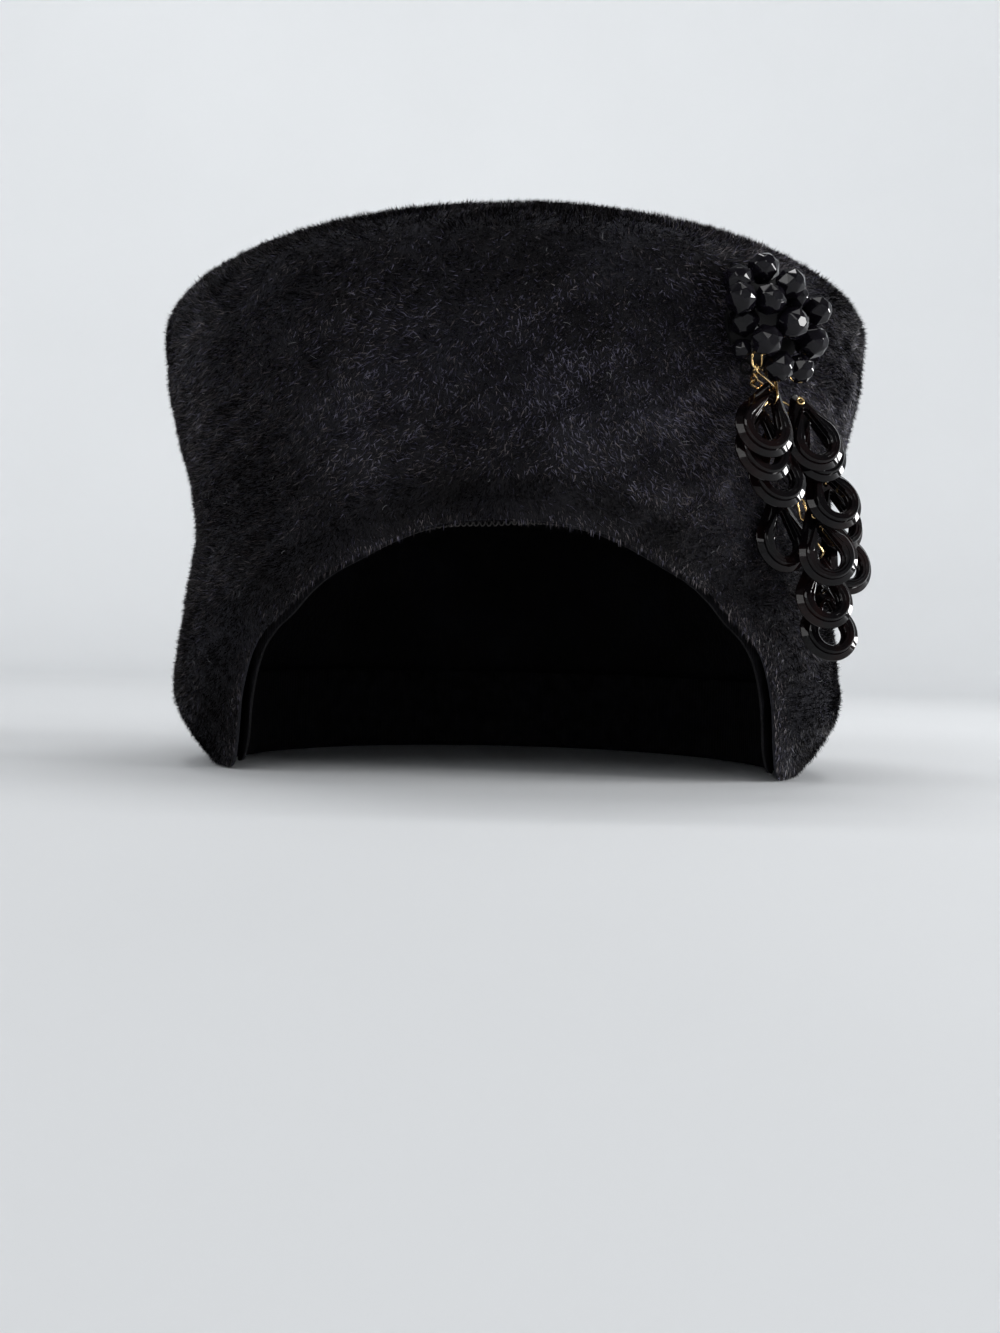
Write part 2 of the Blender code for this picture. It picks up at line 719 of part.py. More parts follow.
def link_ring(centre, along, side, length, width):
    # an oval ring of wire round its middle line
    ring = []
    half_wide = width / 2.0 - LINK_WIRE_RADIUS
    half_long = length / 2.0 - LINK_WIRE_RADIUS
    for k in range(LINK_SIDES):
        turn = 2.0 * math.pi * (k + 0.5) / LINK_SIDES
        straight = half_long - half_wide
        u = half_wide * math.cos(turn) + math.copysign(straight, math.cos(turn))
        v = half_wide * math.sin(turn)
        ring.append(centre + along * u + side * v)
    return ring


def build_chain():
    points = route_points()
    total = sum((b - a).length for a, b in zip(points, points[1:]))
    pitch = LINK_LENGTH - 4.0 * LINK_WIRE_RADIUS + LINK_BITE
    count = int(total / pitch)
    even, odd, joints = [], [], []
    out = direction(HANG_FRAME, (0.0, 1.0, 0.0))
    for k in range(count):
        here, along = along_route(points, pitch * (k + 0.5))
        before, unused = along_route(points, pitch * k)
        after, unused = along_route(points, pitch * (k + 1.0))
        along = (after - before).normalized()
        middle = (after + before) / 2.0
        side = along.cross(out).normalized()
        face = side.cross(along).normalized()
        wide = (side + face).normalized() if k % 2 else (side - face).normalized()
        ring = link_ring(middle, along, wide, LINK_LENGTH, LINK_WIDTH)
        (odd if k % 2 else even).append((ring, None, True))
        joints.append(after)
    chain = wire_mesh("chain", even, LINK_WIRE_RADIUS, GOLD)
    others = wire_mesh("odd_link_part", odd, LINK_WIRE_RADIUS, None, CUTTERS)
    arms = []
    rows = {row[0]: row for row in DROPS}
    for along, via, holds, from_front, head in CHAIN_ARMS:
        start = joints[min(count - 1, round(along * (count - 1)))]
        path = [start] + [HANG_FRAME @ (Vector(p) * DROP_LENGTH) for p in via]
        for number, name in enumerate(holds):
            matrix = drop_matrix(rows[name])
            normal = direction(matrix, (0.0, 0.0, 1.0))
            hole = matrix.translation
            behind = hole - normal * (DROP_FLANGE + PIN_STANDOFF)
            if number:
                path.append(HANG_FRAME @ (Vector(LAST_LINK_SHARES) * DROP_LENGTH))
            if from_front and number == 0:
                path.append(hole + normal * PIN_STANDOFF)
                tail = DROP_FLANGE + (PIN_STANDOFF if len(holds) > 1 else PIN_END)
                path.append(hole - normal * tail)
            else:
                path.append(behind)
                path.append(hole + normal * PIN_END)
        widths = [1.0] * len(path)
        if head:
            path.append(hole + normal * PIN_HEAD_GAP)
            widths.append(1.0)
            for height, width in PIN_HEAD_SHARES:
                path.append(hole + normal * (PIN_HEAD_GAP + PIN_HEAD_HEIGHT * height))
                widths.append(width * PIN_HEAD_RADIUS / ARM_RADIUS)
        arms.append((path, widths, False))
    held = wire_mesh("arm_part", arms, ARM_RADIUS, None, CUTTERS)
    along = (points[0] - eye_centre()).normalized()
    out = direction(PLATE_FRAME, (0.0, 1.0, 0.0))
    side = (out - along * out.dot(along)).normalized()
    middle = eye_centre() + along * JUMP_RING_RADIUS
    ring = []
    for k in range(LINK_SIDES):
        turn = 2.0 * math.pi * k / LINK_SIDES
        ring.append(middle + (along * math.cos(turn) + side * math.sin(turn)) * JUMP_RING_RADIUS)
    jump = wire_mesh("jump_ring_part", [(ring, None, True)], ARM_RADIUS, None, CUTTERS)
    for part in (others, held, jump):
        modifier = boolean(chain, hide_cutter(part), "UNION")
        modifier.use_self = part == held
    return chain


build_felt()
build_band()
build_brooch_base()
for bead_number, bead_row in enumerate(BEADS):
    build_bead(bead_row, bead_number)
build_drops()
build_chain()
bpy.context.view_layer.update()
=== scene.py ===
# Looks of a tall pillbox hat in black velour felt with a black drop brooch.
# Metres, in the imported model's own frame: +Z up, front toward -Y, brooch at +X.
import math
from types import SimpleNamespace

import bmesh
import bpy
import numpy as np
from mathutils import Matrix, Vector


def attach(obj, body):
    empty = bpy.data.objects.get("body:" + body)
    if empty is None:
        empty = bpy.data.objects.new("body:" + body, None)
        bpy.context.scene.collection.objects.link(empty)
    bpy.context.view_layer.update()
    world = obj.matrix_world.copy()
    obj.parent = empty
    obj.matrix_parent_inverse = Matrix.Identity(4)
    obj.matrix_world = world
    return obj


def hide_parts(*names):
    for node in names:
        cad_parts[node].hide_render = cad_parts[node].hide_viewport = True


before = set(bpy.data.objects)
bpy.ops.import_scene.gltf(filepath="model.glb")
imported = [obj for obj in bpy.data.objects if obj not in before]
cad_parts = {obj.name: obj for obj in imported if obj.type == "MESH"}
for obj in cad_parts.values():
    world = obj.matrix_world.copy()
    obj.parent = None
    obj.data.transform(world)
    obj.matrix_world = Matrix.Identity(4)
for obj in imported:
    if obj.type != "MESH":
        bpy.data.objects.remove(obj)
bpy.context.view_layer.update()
SCENE = bpy.context.scene
BODY = "root"

# felt shell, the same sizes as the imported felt_body
CROWN_WIDTH = 0.1888
CROWN_DEPTH = 0.2186
GIRTH_HEIGHT = 0.1130
GIRTH_FRONT_RISE = 0.0085
GIRTH_SIDE_RISE = 0.0012
DOME_RISE = 0.0270
DOME_ROUNDNESS = 1.80
FELT_THICKNESS = 0.0030
ARCH_RISE = 0.0620
SIDE_CURL = 0.0140
SIDE_CURL_REACH = 0.0240
ARCH_CURL = 0.0040
ARCH_CURL_REACH = 0.0140
CURL_ROUNDNESS = 2.1
# the wall from the rim's level up: height and width, both as shares of the girth's
WALL_SHARES = (
    (0.000, 0.965),
    (0.160, 0.962),
    (0.390, 0.928),
    (0.555, 0.904),
    (0.630, 0.915),
    (0.770, 0.958),
    (0.860, 0.982),
    (1.000, 1.000),
)
# the rim from the front round to the back: angle in degrees, share of the arch's rise
RIM_SHARES = (
    (0.0, 1.00),
    (8.0, 0.99),
    (15.0, 0.96),
    (20.0, 0.92),
    (27.0, 0.85),
    (33.0, 0.79),
    (38.0, 0.72),
    (42.0, 0.65),
    (48.0, 0.57),
    (52.0, 0.49),
    (55.0, 0.39),
    (58.0, 0.27),
    (61.0, 0.15),
    (66.0, 0.05),
    (75.0, 0.00),
    (90.0, 0.00),
    (180.0, 0.00),
)
# the felt is pressed flat where it rests
SEAT_SINK = 0.0012
SEAT_BLEND = 0.0080
SKIN_COLUMNS = 180
SKIN_ROWS = 34
SKIN_ROW_CROWDING = 1.3
SKIN_RINGS = 22
SKIN_RING_CROWDING = 0.75
SKIN_TOP_SHARE = 0.25
DOME_GAP_STEP = 0.004
RIM_SAMPLES = 1441
# plain waves summed in a random field, and what brings their sum to about -1 to 1
WAVE_COUNT = 12
WAVE_SPREAD = 3.5
# shade of the felt below the nap, by the lumps of its noise
FELT_COLOURS = (
    (0.30, (0.0050, 0.0044, 0.0048)),
    (0.55, (0.0085, 0.0080, 0.0098)),
    (0.75, (0.0130, 0.0128, 0.0165)),
)
FELT_SHEEN_TINT = (0.75, 0.78, 1.0, 1.0)

# nap: short fibres that stand off the felt
NAP_PIECES = 4
NAP_FIBRES = 172000
NAP_LENGTH = 0.0019
NAP_WIDTH = 0.00022
LOCK_SHARE = 0.40
LOCK_LENGTH = 1.22
LOCK_WIDTH = 1.50
NAP_ROOT = 0.0003
FLOOR_GAP = 0.0002
NAP_LENGTH_SHARES = (0.55, 1.10)
NAP_WIDTH_SHARES = (0.60, 1.20)
NAP_RIM_TRIM = 0.25
NAP_SEED = 11
# sizes of the swirls, brushed patches and tufts, of the lip, whose fibres get a painted sheen, and of
# the painted shade band along the rim
NAP_SWIRL = 0.024
NAP_PATCH = NAP_SWIRL * 1.6
NAP_TUFT = 0.0045
NAP_RIM = 0.0030
# painted shade: a band this far above the rim is painted darker where the curl shades it
PAINTED_SHADE_GAP = 0.0068
PAINTED_SHADE_WIDTH_SHARE = 0.5
# how the fibres lie, in radians: their heading on the felt and their lean away from its normal
NAP_HEADING = -1.9
SWIRL_TURN = 1.2
TUFT_TURN = 0.7
HEADING_SPREAD = 0.75
NAP_LEAN = 0.80
LEAN_WAVE = 0.22
LEAN_SPREAD = 0.28
LEAN_LIMITS = (0.10, 1.30)
NAP_TWIST = 0.6
# the painted sheen patch, a pool of light painted into the fibres' shades at the front: across, height
# and how far it reaches
SHEEN_PATCH_ACROSS = 0.014
SHEEN_PATCH_HEIGHT = 0.098
SHEEN_PATCH_WIDTH = 0.068
SHEEN_PATCH_TALL = 0.027
# painted light: a stretch beside the drops is painted paler
SIDE_ACROSS = 0.056
SIDE_REACH = 0.022
SIDE_PAINTED_LIGHT = 1.70
# steps of shade that each cause adds to a fibre; patches, tufts, locks and strays are random tone, the
# placed causes are painted light and shade
BASE_LIGHT = -0.15
PATCH_LIGHT = 0.35
TUFT_LIGHT = 0.30
PAINTED_SHEEN_LIGHT = 1.30
# painted sheen: fibres on the lip are painted lighter
LIP_PAINTED_SHEEN = 0.2
RIM_PAINTED_SHADE = -2.2
# painted shade: fibres above the sheen patch are painted darker toward the top
TOP_PAINTED_SHADE = 0.95
TOP_REACH = 0.03
# painted shade: fibres are painted darker toward the bottom
LOW_PAINTED_SHADE = 0.30
LOW_REACH = 0.09
LOCK_LIGHT_MOST = 3.7
STRAY_LIGHT_SHAPE = 1.2
STRAY_LIGHT_SCALE = 0.40
# share of the fibres that are cool in colour, and how the painted sheen patch, bluish like the sheen it
# paints, and the patches change it
COOL_SHARE = 0.25
COOL_IN_PAINTED_SHEEN = 0.6
COOL_PATCH = 0.12
# painted shade: the right edge is painted dark, so it stays dark although the side light grazes it
EDGE_START = 0.070
EDGE_REACH = 0.014
EDGE_PAINTED_SHADE = 0.90
# each shade of fibre: a cool colour for the front, a warm one for the sides; picked by random tone and
# by painted light and shade
NAP_SHADES = (
    ((0.0018, 0.0017, 0.0024), (0.0022, 0.0017, 0.0019)),
    ((0.0056, 0.0052, 0.0086), (0.0066, 0.0052, 0.0058)),
    ((0.0145, 0.0135, 0.0230), (0.0155, 0.0126, 0.0140)),
    ((0.0470, 0.0435, 0.0710), (0.0465, 0.0385, 0.0410)),
    ((0.1060, 0.0995, 0.1430), (0.0980, 0.0830, 0.0880)),
)
# shine of the darkest fibres, and how much each shade adds
NAP_SHINE = 0.05
NAP_SHINE_STEP = 0.10
LINT_COUNT = 420
LINT_LENGTH = 0.0016
LINT_WIDTH = 0.00006
LINT_STEPS = 6
LINT_BEND = 0.6
LINT_LENGTH_SHARES = (0.4, 1.4)
LINT_DEPTH_SHARES = (0.45, 0.85)
LINT_SEED = 77
LINT_COLOUR = (0.16, 0.16, 0.17)

# ribbon inside the rim
BAND_HEIGHT = 0.0240
BAND_THICKNESS = 0.0009
BAND_GAP = 0.0004
BAND_SEAT_LIFT = 0.0005
BAND_PEEK = 0.0006
BAND_FOOT_SHARE = 0.8
BAND_SEAT_FADE = 4.0
RIBBON_COLOURS = ((0.35, (0.0045, 0.0042, 0.0050)), (0.70, (0.0120, 0.0112, 0.0140)))
RIB_COUNT = 360
RIB_DEPTH = 0.00016
LOOP_HEIGHT = 0.0010
LOOP_WIRE = 0.00020
LOOP_STEPS = 6
LOOP_HALF_WIDTH = 0.42
LOOP_PEEK = 0.0012
LOOP_HIDE = 0.0008
LOOP_PEEK_DEG = 8.0
LOOP_PEEK_MIDDLE_DEG = -4.0
# colour of the looped thread, by share of the arch's rise: painted light, paler toward its top where the
# arch is lit
LOOP_PAINTED_LIGHT_COLOURS = ((0.60, (0.0040, 0.0038, 0.0040)), (0.96, (0.0420, 0.0390, 0.0380)))

# brooch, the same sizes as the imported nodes
BROOCH_ANGLE_DEG = 34.7
BROOCH_BELOW_GIRTH = 0.0112
BROOCH_STANDOFF = 0.0026
BROOCH_TURN_DEG = -12.0
PLATE_THICKNESS = 0.0010
PLATE_ACROSS = 0.0010
PLATE_UP = -0.0010
STALK_FOOT_SHARE = 0.78
BEAD_DIAMETER = 0.0071
BEAD_SIDES = 6
BEAD_RING_DEGS = (20.0, 54.0, 90.0, 126.0, 160.0)
BEAD_EDGE = 0.040
BEAD_FULLNESS = 1.06
BEAD_SPIN_STEP_DEG = 19.0
JET_COLOURS = ((0.3, (0.0018, 0.0016, 0.0024)), (0.7, (0.0048, 0.0040, 0.0062)))
# places in the plate's frame and sizes, all as shares of BEAD_DIAMETER
BEAD_FIELDS = ("name", "across", "out", "up", "size")
BEADS = (
    ("bead_01", -1.26, 0.67, 0.94, 0.97),
    ("bead_02", -1.60, 1.33, 0.24, 1.00),
    ("bead_03", -0.34, 0.68, 1.40, 1.00),
    ("bead_04", 0.26, 1.30, 0.89, 0.95),
    ("bead_05", -0.56, 1.40, 0.30, 1.00),
    ("bead_06", -1.00, 0.67, -0.30, 1.00),
    ("bead_07", 0.27, 1.44, -0.36, 1.04),
    ("bead_08", 1.76, 0.66, 0.30, 0.95),
    ("bead_09", 1.51, 0.76, -0.71, 1.08),
    ("bead_10", -0.65, 1.40, -0.98, 1.00),
    ("bead_11", 0.08, 1.04, -1.66, 1.00),
    ("bead_12", 1.05, 0.84, -1.63, 0.90),
    ("bead_13", 0.92, 0.71, 0.63, 0.80),
    ("bead_14", -1.03, 0.64, -1.18, 0.68),
)

# teardrop rings
DROP_LENGTH = 0.0195
DROP_WIDTH = 0.0148
DROP_TIP_RADIUS = 0.0021
DROP_FLANGE = 0.0013
DROP_TIER_INSET = 0.0014
DROP_TIER_TIP_DROP = 0.0026
DROP_TIER_TIP_RADIUS = 0.0010
DROP_HOLE_RADIUS = 0.0008
DROP_WINDOW_TOP = 0.0034
DROP_WINDOW_BOTTOM = 0.0106
DROP_WINDOW_TOP_RADIUS = 0.0007
DROP_WINDOW_RADIUS = 0.0030
DROP_WINDOW_STEP = 0.00035
DROP_ARC_STEPS = 40
DROP_TIP_STEPS = 12
DROP_HOLE_SIDES = 24
DROP_SHARP_DEG = 17.0
PLASTIC_COLOURS = ((0.45, (0.0020, 0.0016, 0.0020)), (0.80, (0.0080, 0.0028, 0.0024)))
# places of the holes in shares of DROP_LENGTH, and the turns in degrees
DROP_FIELDS = ("name", "across", "out", "up", "turn", "lean", "swing")
DROPS = (
    ("drop_01", 0.225, 0.172, -0.802, -16.0, 20.0, -19.0),
    ("drop_02", 0.773, 0.112, -0.881, -20.0, 19.0, 16.0),
    ("drop_03", 0.170, 0.043, -1.042, -13.0, 21.0, -4.0),
    ("drop_04", 0.454, -0.018, -1.326, -18.0, 21.0, 0.0),
    ("drop_05", 1.126, -0.085, -0.965, -17.0, 19.0, 12.0),
    ("drop_06", 1.180, -0.022, -1.578, -18.0, 22.0, 26.0),
    ("drop_07", 0.930, -0.335, -2.027, -12.0, 13.0, 3.0),
    ("drop_08", 1.173, 0.039, -2.206, -26.0, 14.0, 18.0),
    ("drop_09", 1.843, -0.234, -2.280, -15.0, 15.0, 15.0),
    ("drop_10", 1.663, -0.237, -1.776, -8.0, 18.0, 16.0),
    ("drop_11", 1.411, -0.090, -2.717, -22.0, 20.0, 3.0),
    ("drop_12", 1.707, -0.238, -3.110, -25.0, 20.0, 2.0),
)
# section of each step: share of the way from the outer edge to the window, height in metres
SECTION_FIELDS = ("share", "height")
FLANGE_SECTION = (
    (0.020, -0.00130),
    (0.000, -0.00122),
    (0.000, -0.00086),
    (0.014, -0.00078),
    (0.290, -0.00007),
    (0.320, 0.00000),
    (0.970, 0.00000),
    (1.000, -0.00006),
    (1.000, -0.00124),
    (0.970, -0.00130),
)
TIER_SECTION = (
    (0.000, -0.00065),
    (0.000, 0.00060),
    (0.025, 0.00070),
    (0.140, 0.00103),
    (0.175, 0.00110),
    (0.520, 0.00110),
    (0.545, 0.00106),
    (0.570, 0.00094),
    (0.620, 0.00092),
    (0.850, 0.00092),
    (0.890, 0.00088),
    (1.000, 0.00058),
    (1.000, -0.00065),
)

# gold chain, links and pins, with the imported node's route in shares of DROP_LENGTH
LINK_LENGTH = 0.0056
LINK_WIDTH = 0.0021
LINK_WIRE_RADIUS = 0.00025
LINK_BITE = 0.00012
OVAL_STEPS = 28
GOLD_COLOURS = ((0.3, (0.55, 0.36, 0.15)), (0.7, (0.80, 0.58, 0.28)))
LACQUER_COLOURS = ((0.3, (0.0016, 0.0016, 0.0020)), (0.7, (0.0040, 0.0040, 0.0046)))
ARM_RADIUS = 0.00024
PIN_STANDOFF = 0.0019
PIN_END = 0.0003
EYELET_RADIUS = 0.00078
EYELET_WIRE = 0.00026
EYELET_LIFT = 0.00020
JUMP_RING_PLACE = (-0.0047, 0.0066, -0.0107)
JUMP_RING_WIDE = 0.0013
JUMP_RING_TALL = 0.0019
OVAL_LINK_WIDTH = 0.0019
OVAL_LINK_OVERLAP = 0.0006
TIP_RING_REACH = 0.0031
TIP_RING_DEPTH = 0.0019
CHAIN_ROUTE_SHARES = (
    (0.03, 0.030, -0.730),
    (0.28, -0.040, -0.750),
    (0.50, -0.082, -0.850),
    (0.75, -0.154, -1.060),
    (0.94, -0.231, -1.330),
    (1.04, -0.251, -1.590),
    (1.09, -0.160, -1.920),
    (1.15, -0.115, -2.230),
    (1.30, -0.056, -2.510),
)
# how far along the route each arm leaves it, the points it passes, the drops it holds,
# whether it comes from the front and whether an eyelet caps it
ARM_FIELDS = ("along", "via", "holds", "from_front", "eyelet")
CHAIN_ARMS = (
    (0.26, (), ("drop_01",), False, False),
    (0.36, ((0.45, -0.110, -0.900), (0.33, -0.120, -1.000)), ("drop_03",), False, False),
    (0.31, (), ("drop_02",), False, True),
    (0.47, ((0.95, -0.215, -1.000),), ("drop_05",), False, False),
    (0.58, ((0.70, -0.190, -1.370),), ("drop_04",), False, False),
    (0.62, (), ("drop_06",), False, False),
    (0.68, ((1.40, -0.360, -1.720),), ("drop_10",), False, False),
    (0.77, (), ("drop_07",), True, False),
    (0.89, (), ("drop_08",), False, True),
    (0.93, ((1.35, -0.190, -2.310), (1.60, -0.360, -2.330)), ("drop_09",), False, False),
    (1.00, ((1.37, 0.020, -2.640),), ("drop_11", "drop_12"), True, False),
)
LAST_LINK_SHARES = (1.49, -0.400, -2.950)

# photograph's view
LENS_MM = 46.3
SENSOR_MM = 36.0
IMAGE_HEIGHT = 1333.0
VIEW_SHIFT_PX = -7.7
CAMERA_PLACE = (0.0, -0.480, 0.0353)
CAMERA_PITCH_DEG = 0.89
CAMERA_ROLL = 0.0245


def named_rows(fields, table):
    # the table's rows, with each column as an attribute
    return [SimpleNamespace(**dict(zip(fields, row))) for row in table]


def smooth_table(rows, x):
    # smooth curve through the rows of a two-column table
    xs = np.array([row[0] for row in rows])
    ys = np.array([row[1] for row in rows])
    slopes = np.gradient(ys, xs)
    x = np.clip(x, xs[0], xs[-1])
    i = np.clip(np.searchsorted(xs, x, side="right") - 1, 0, len(xs) - 2)
    h = xs[i + 1] - xs[i]
    t = (x - xs[i]) / h
    start = (2 * t**3 - 3 * t**2 + 1) * ys[i] + (t**3 - 2 * t**2 + t) * h * slopes[i]
    end = (3 * t**2 - 2 * t**3) * ys[i + 1] + (t**3 - t**2) * h * slopes[i + 1]
    return start + end


def smoothstep(x):
    x = np.clip(x, 0.0, 1.0)
    return x * x * (3.0 - 2.0 * x)


def waves(points, size, seed):
    # smooth random field of about -1 to 1, its lumps about one size across
    rng = np.random.default_rng(seed)
    turns = rng.normal(size=(3, WAVE_COUNT)) * 2.0 / size
    phases = rng.uniform(0.0, 2.0 * math.pi, WAVE_COUNT)
    return np.sin(points @ turns + phases).sum(axis=1) / WAVE_SPREAD


def rim_height(angle):
    share = smooth_table(RIM_SHARES, np.degrees(np.abs(angle)))
    return ARCH_RISE * np.clip(share, 0.0, None)


def girth_height(angle):
    return GIRTH_HEIGHT + GIRTH_FRONT_RISE * np.cos(angle) + GIRTH_SIDE_RISE * np.sin(angle)


MEAN_RADIUS = (CROWN_WIDTH + CROWN_DEPTH) / 4.0
RIM_ANGLES = np.linspace(-math.pi, math.pi, RIM_SAMPLES)
RIM_HEIGHTS = rim_height(RIM_ANGLES)


def rim_distance(angle, z):
    # shortest way from each wall point to the rim, on the unrolled wall
    gaps = []
    for a, h in zip(angle, z):
        gaps.append(np.min(np.hypot((RIM_ANGLES - a) * MEAN_RADIUS, RIM_HEIGHTS - h)))
    return np.where(z > rim_height(angle), gaps, 0.0)


def curl_depth(rim_z):
    return SIDE_CURL + (ARCH_CURL - SIDE_CURL) * rim_z / ARCH_RISE


def wall_points(angle, z, rim_z, gap):
    # outer face of the felt below the girth
    share = smooth_table(WALL_SHARES, z / girth_height(angle))
    reach = SIDE_CURL_REACH + (ARCH_CURL_REACH - SIDE_CURL_REACH) * rim_z / ARCH_RISE
    near = np.clip(1.0 - gap / reach, 0.0, 1.0)
    curl = curl_depth(rim_z) * near**CURL_ROUNDNESS
    x = (CROWN_WIDTH / 2.0 * share - curl) * np.sin(angle)
    y = -(CROWN_DEPTH / 2.0 * share - curl) * np.cos(angle)
    return np.stack([x, y, z], axis=1)


def column_angles(columns):
    # columns spread evenly along the rim, so the steep sides of the arch get their share
    steps = np.hypot(np.diff(RIM_ANGLES) * MEAN_RADIUS, np.diff(RIM_HEIGHTS))
    along = np.concatenate([[0.0], np.cumsum(steps)])
    places = np.arange(columns) / columns
    at_rim = np.interp(places * along[-1], along, RIM_ANGLES)
    at_girth = -math.pi + 2.0 * math.pi * places
    return at_rim, at_girth


def skin_rings():
    # rings of points from the rim to the top, and how far each point lies from the rim
    at_rim, at_girth = column_angles(SKIN_COLUMNS)
    rim_z = rim_height(at_rim)
    rings, gaps = [], []
    for row in range(SKIN_ROWS + 1):
        up = (row / SKIN_ROWS) ** SKIN_ROW_CROWDING
        angle = at_rim + (at_girth - at_rim) * smoothstep(up)
        z = rim_z + (girth_height(angle) - rim_z) * up
        gap = rim_distance(angle, z)
        ring = wall_points(angle, z, rim_z, gap)
        ring[:, 2] = np.maximum(z - SEAT_SINK * (1.0 - smoothstep(z / SEAT_BLEND)), 0.0)
        rings.append(ring)
        gaps.append(gap)
    for ring in range(1, SKIN_RINGS + 1):
        t = ring / (SKIN_RINGS + SKIN_TOP_SHARE)
        q = math.cos(t * math.pi / 2.0) ** SKIN_RING_CROWDING
        z = GIRTH_HEIGHT + (girth_height(at_girth) - GIRTH_HEIGHT) * q
        z = z + DOME_RISE * (1.0 - q**DOME_ROUNDNESS) ** (1.0 / DOME_ROUNDNESS)
        x = CROWN_WIDTH / 2.0 * q * np.sin(at_girth)
        y = -CROWN_DEPTH / 2.0 * q * np.cos(at_girth)
        rings.append(np.stack([x, y, z], axis=1))
        gaps.append(gaps[-1] + DOME_GAP_STEP)
    return np.array(rings), np.array(gaps)


def new_object(name, data, *materials):
    thing = bpy.data.objects.new(name, data)
    SCENE.collection.objects.link(thing)
    for material in materials:
        data.materials.append(material)
    return thing


def piece(name, data, slot, *materials, stands_for=()):
    # a shown piece that rides with the hat
    thing = new_object(name, data, *materials)
    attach(thing, BODY)
    if stands_for:
        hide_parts(*stands_for)
    return thing


def mesh_of(name, points, faces):
    mesh = bpy.data.meshes.new(name)
    mesh.from_pydata([tuple(p) for p in points], [], faces)
    mesh.update()
    return mesh


def grid_faces(rows, columns, closed=False):
    # quads between rings of points; closed also joins the last ring to the first
    faces = []
    for r in range(rows if closed else rows - 1):
        n = (r + 1) % rows
        for k in range(columns):
            m = (k + 1) % columns
            faces.append((r * columns + k, r * columns + m, n * columns + m, n * columns + k))
    return faces


def new_material(name, colour=None, **inputs):
    material = bpy.data.materials.new(name)
    material.use_nodes = True
    shader = material.node_tree.nodes["Principled BSDF"]
    if colour is not None:
        shader.inputs["Base Color"].default_value = (*colour, 1.0)
    for key, value in inputs.items():
        shader.inputs[key.replace("_", " ")].default_value = value
    return material, material.node_tree, shader


def add_noise(tree, scale, detail=3.0, roughness=0.55):
    coords = tree.nodes.new("ShaderNodeTexCoord")
    noise = tree.nodes.new("ShaderNodeTexNoise")
    noise.inputs["Scale"].default_value = scale
    noise.inputs["Detail"].default_value = detail
    noise.inputs["Roughness"].default_value = roughness
    tree.links.new(coords.outputs["Object"], noise.inputs["Vector"])
    return noise.outputs["Fac"]


def add_height(tree, full):
    # height above the surface as a share of a full height
    coords = tree.nodes.new("ShaderNodeTexCoord")
    split = tree.nodes.new("ShaderNodeSeparateXYZ")
    share = tree.nodes.new("ShaderNodeMath")
    share.operation = "DIVIDE"
    share.inputs[1].default_value = full
    tree.links.new(coords.outputs["Object"], split.inputs["Vector"])
    tree.links.new(split.outputs["Z"], share.inputs[0])
    return share.outputs["Value"]


def add_ramp(tree, factor, stops):
    ramp = tree.nodes.new("ShaderNodeValToRGB")
    elements = ramp.color_ramp.elements
    while len(elements) < len(stops):
        elements.new(0.5)
    for element, (place, colour) in zip(elements, stops):
        element.position = place
        element.color = (*colour, 1.0)
    tree.links.new(factor, ramp.inputs["Fac"])
    return ramp.outputs["Color"]


def add_bump(tree, shader, height, distance, strength=1.0):
    bump = tree.nodes.new("ShaderNodeBump")
    bump.inputs["Distance"].default_value = distance
    bump.inputs["Strength"].default_value = strength
    tree.links.new(height, bump.inputs["Height"])
    tree.links.new(bump.outputs["Normal"], shader.inputs["Normal"])


def felt_material():
    material, tree, shader = new_material("velour_felt", Roughness=0.95, Specular_IOR_Level=0.15)
    shader.inputs["Sheen Weight"].default_value = 0.06
    shader.inputs["Sheen Roughness"].default_value = 0.45
    shader.inputs["Sheen Tint"].default_value = FELT_SHEEN_TINT
    colour = add_ramp(tree, add_noise(tree, 38.0, 4.0, 0.6), FELT_COLOURS)
    tree.links.new(colour, shader.inputs["Base Color"])
    add_bump(tree, shader, add_noise(tree, 620.0, 4.0, 0.7), 0.0007)
    return material


def build_felt(material):
    rings, gaps = skin_rings()
    rows, columns = rings.shape[:2]
    points = [tuple(p) for p in rings.reshape(-1, 3)]
    faces = grid_faces(rows, columns)
    points.append((0.0, 0.0, GIRTH_HEIGHT + DOME_RISE))
    last = (rows - 1) * columns
    for k in range(columns):
        faces.append((last + k, last + (k + 1) % columns, len(points) - 1))
    skin = mesh_of("felt_skin", points, faces)
    felt = piece("felt_skin", skin, "black_felt", material, stands_for=["felt_body"])
    bpy.context.view_layer.objects.active = felt
    wall = felt.modifiers.new("wall", "SOLIDIFY")
    wall.thickness = FELT_THICKNESS
    wall.offset = -1.0
    wall.use_even_offset = True
    bpy.ops.object.modifier_apply(modifier=wall.name)
    verts = felt.data.vertices
    for vert in verts:
        vert.co.z = max(vert.co.z, 0.0)
    for k in range(columns):
        # the rim's inner corner comes down to the surface beside its outer one
        outer, inner = verts[k].co, verts[len(points) + k].co
        inner.z = outer.z + (inner.z - outer.z) * float(smoothstep(outer.z / SEAT_BLEND))
    round_edge = felt.modifiers.new("round_edge", "SUBSURF")
    round_edge.levels = round_edge.render_levels = 1
    felt.data.shade_smooth()
    return rings, gaps


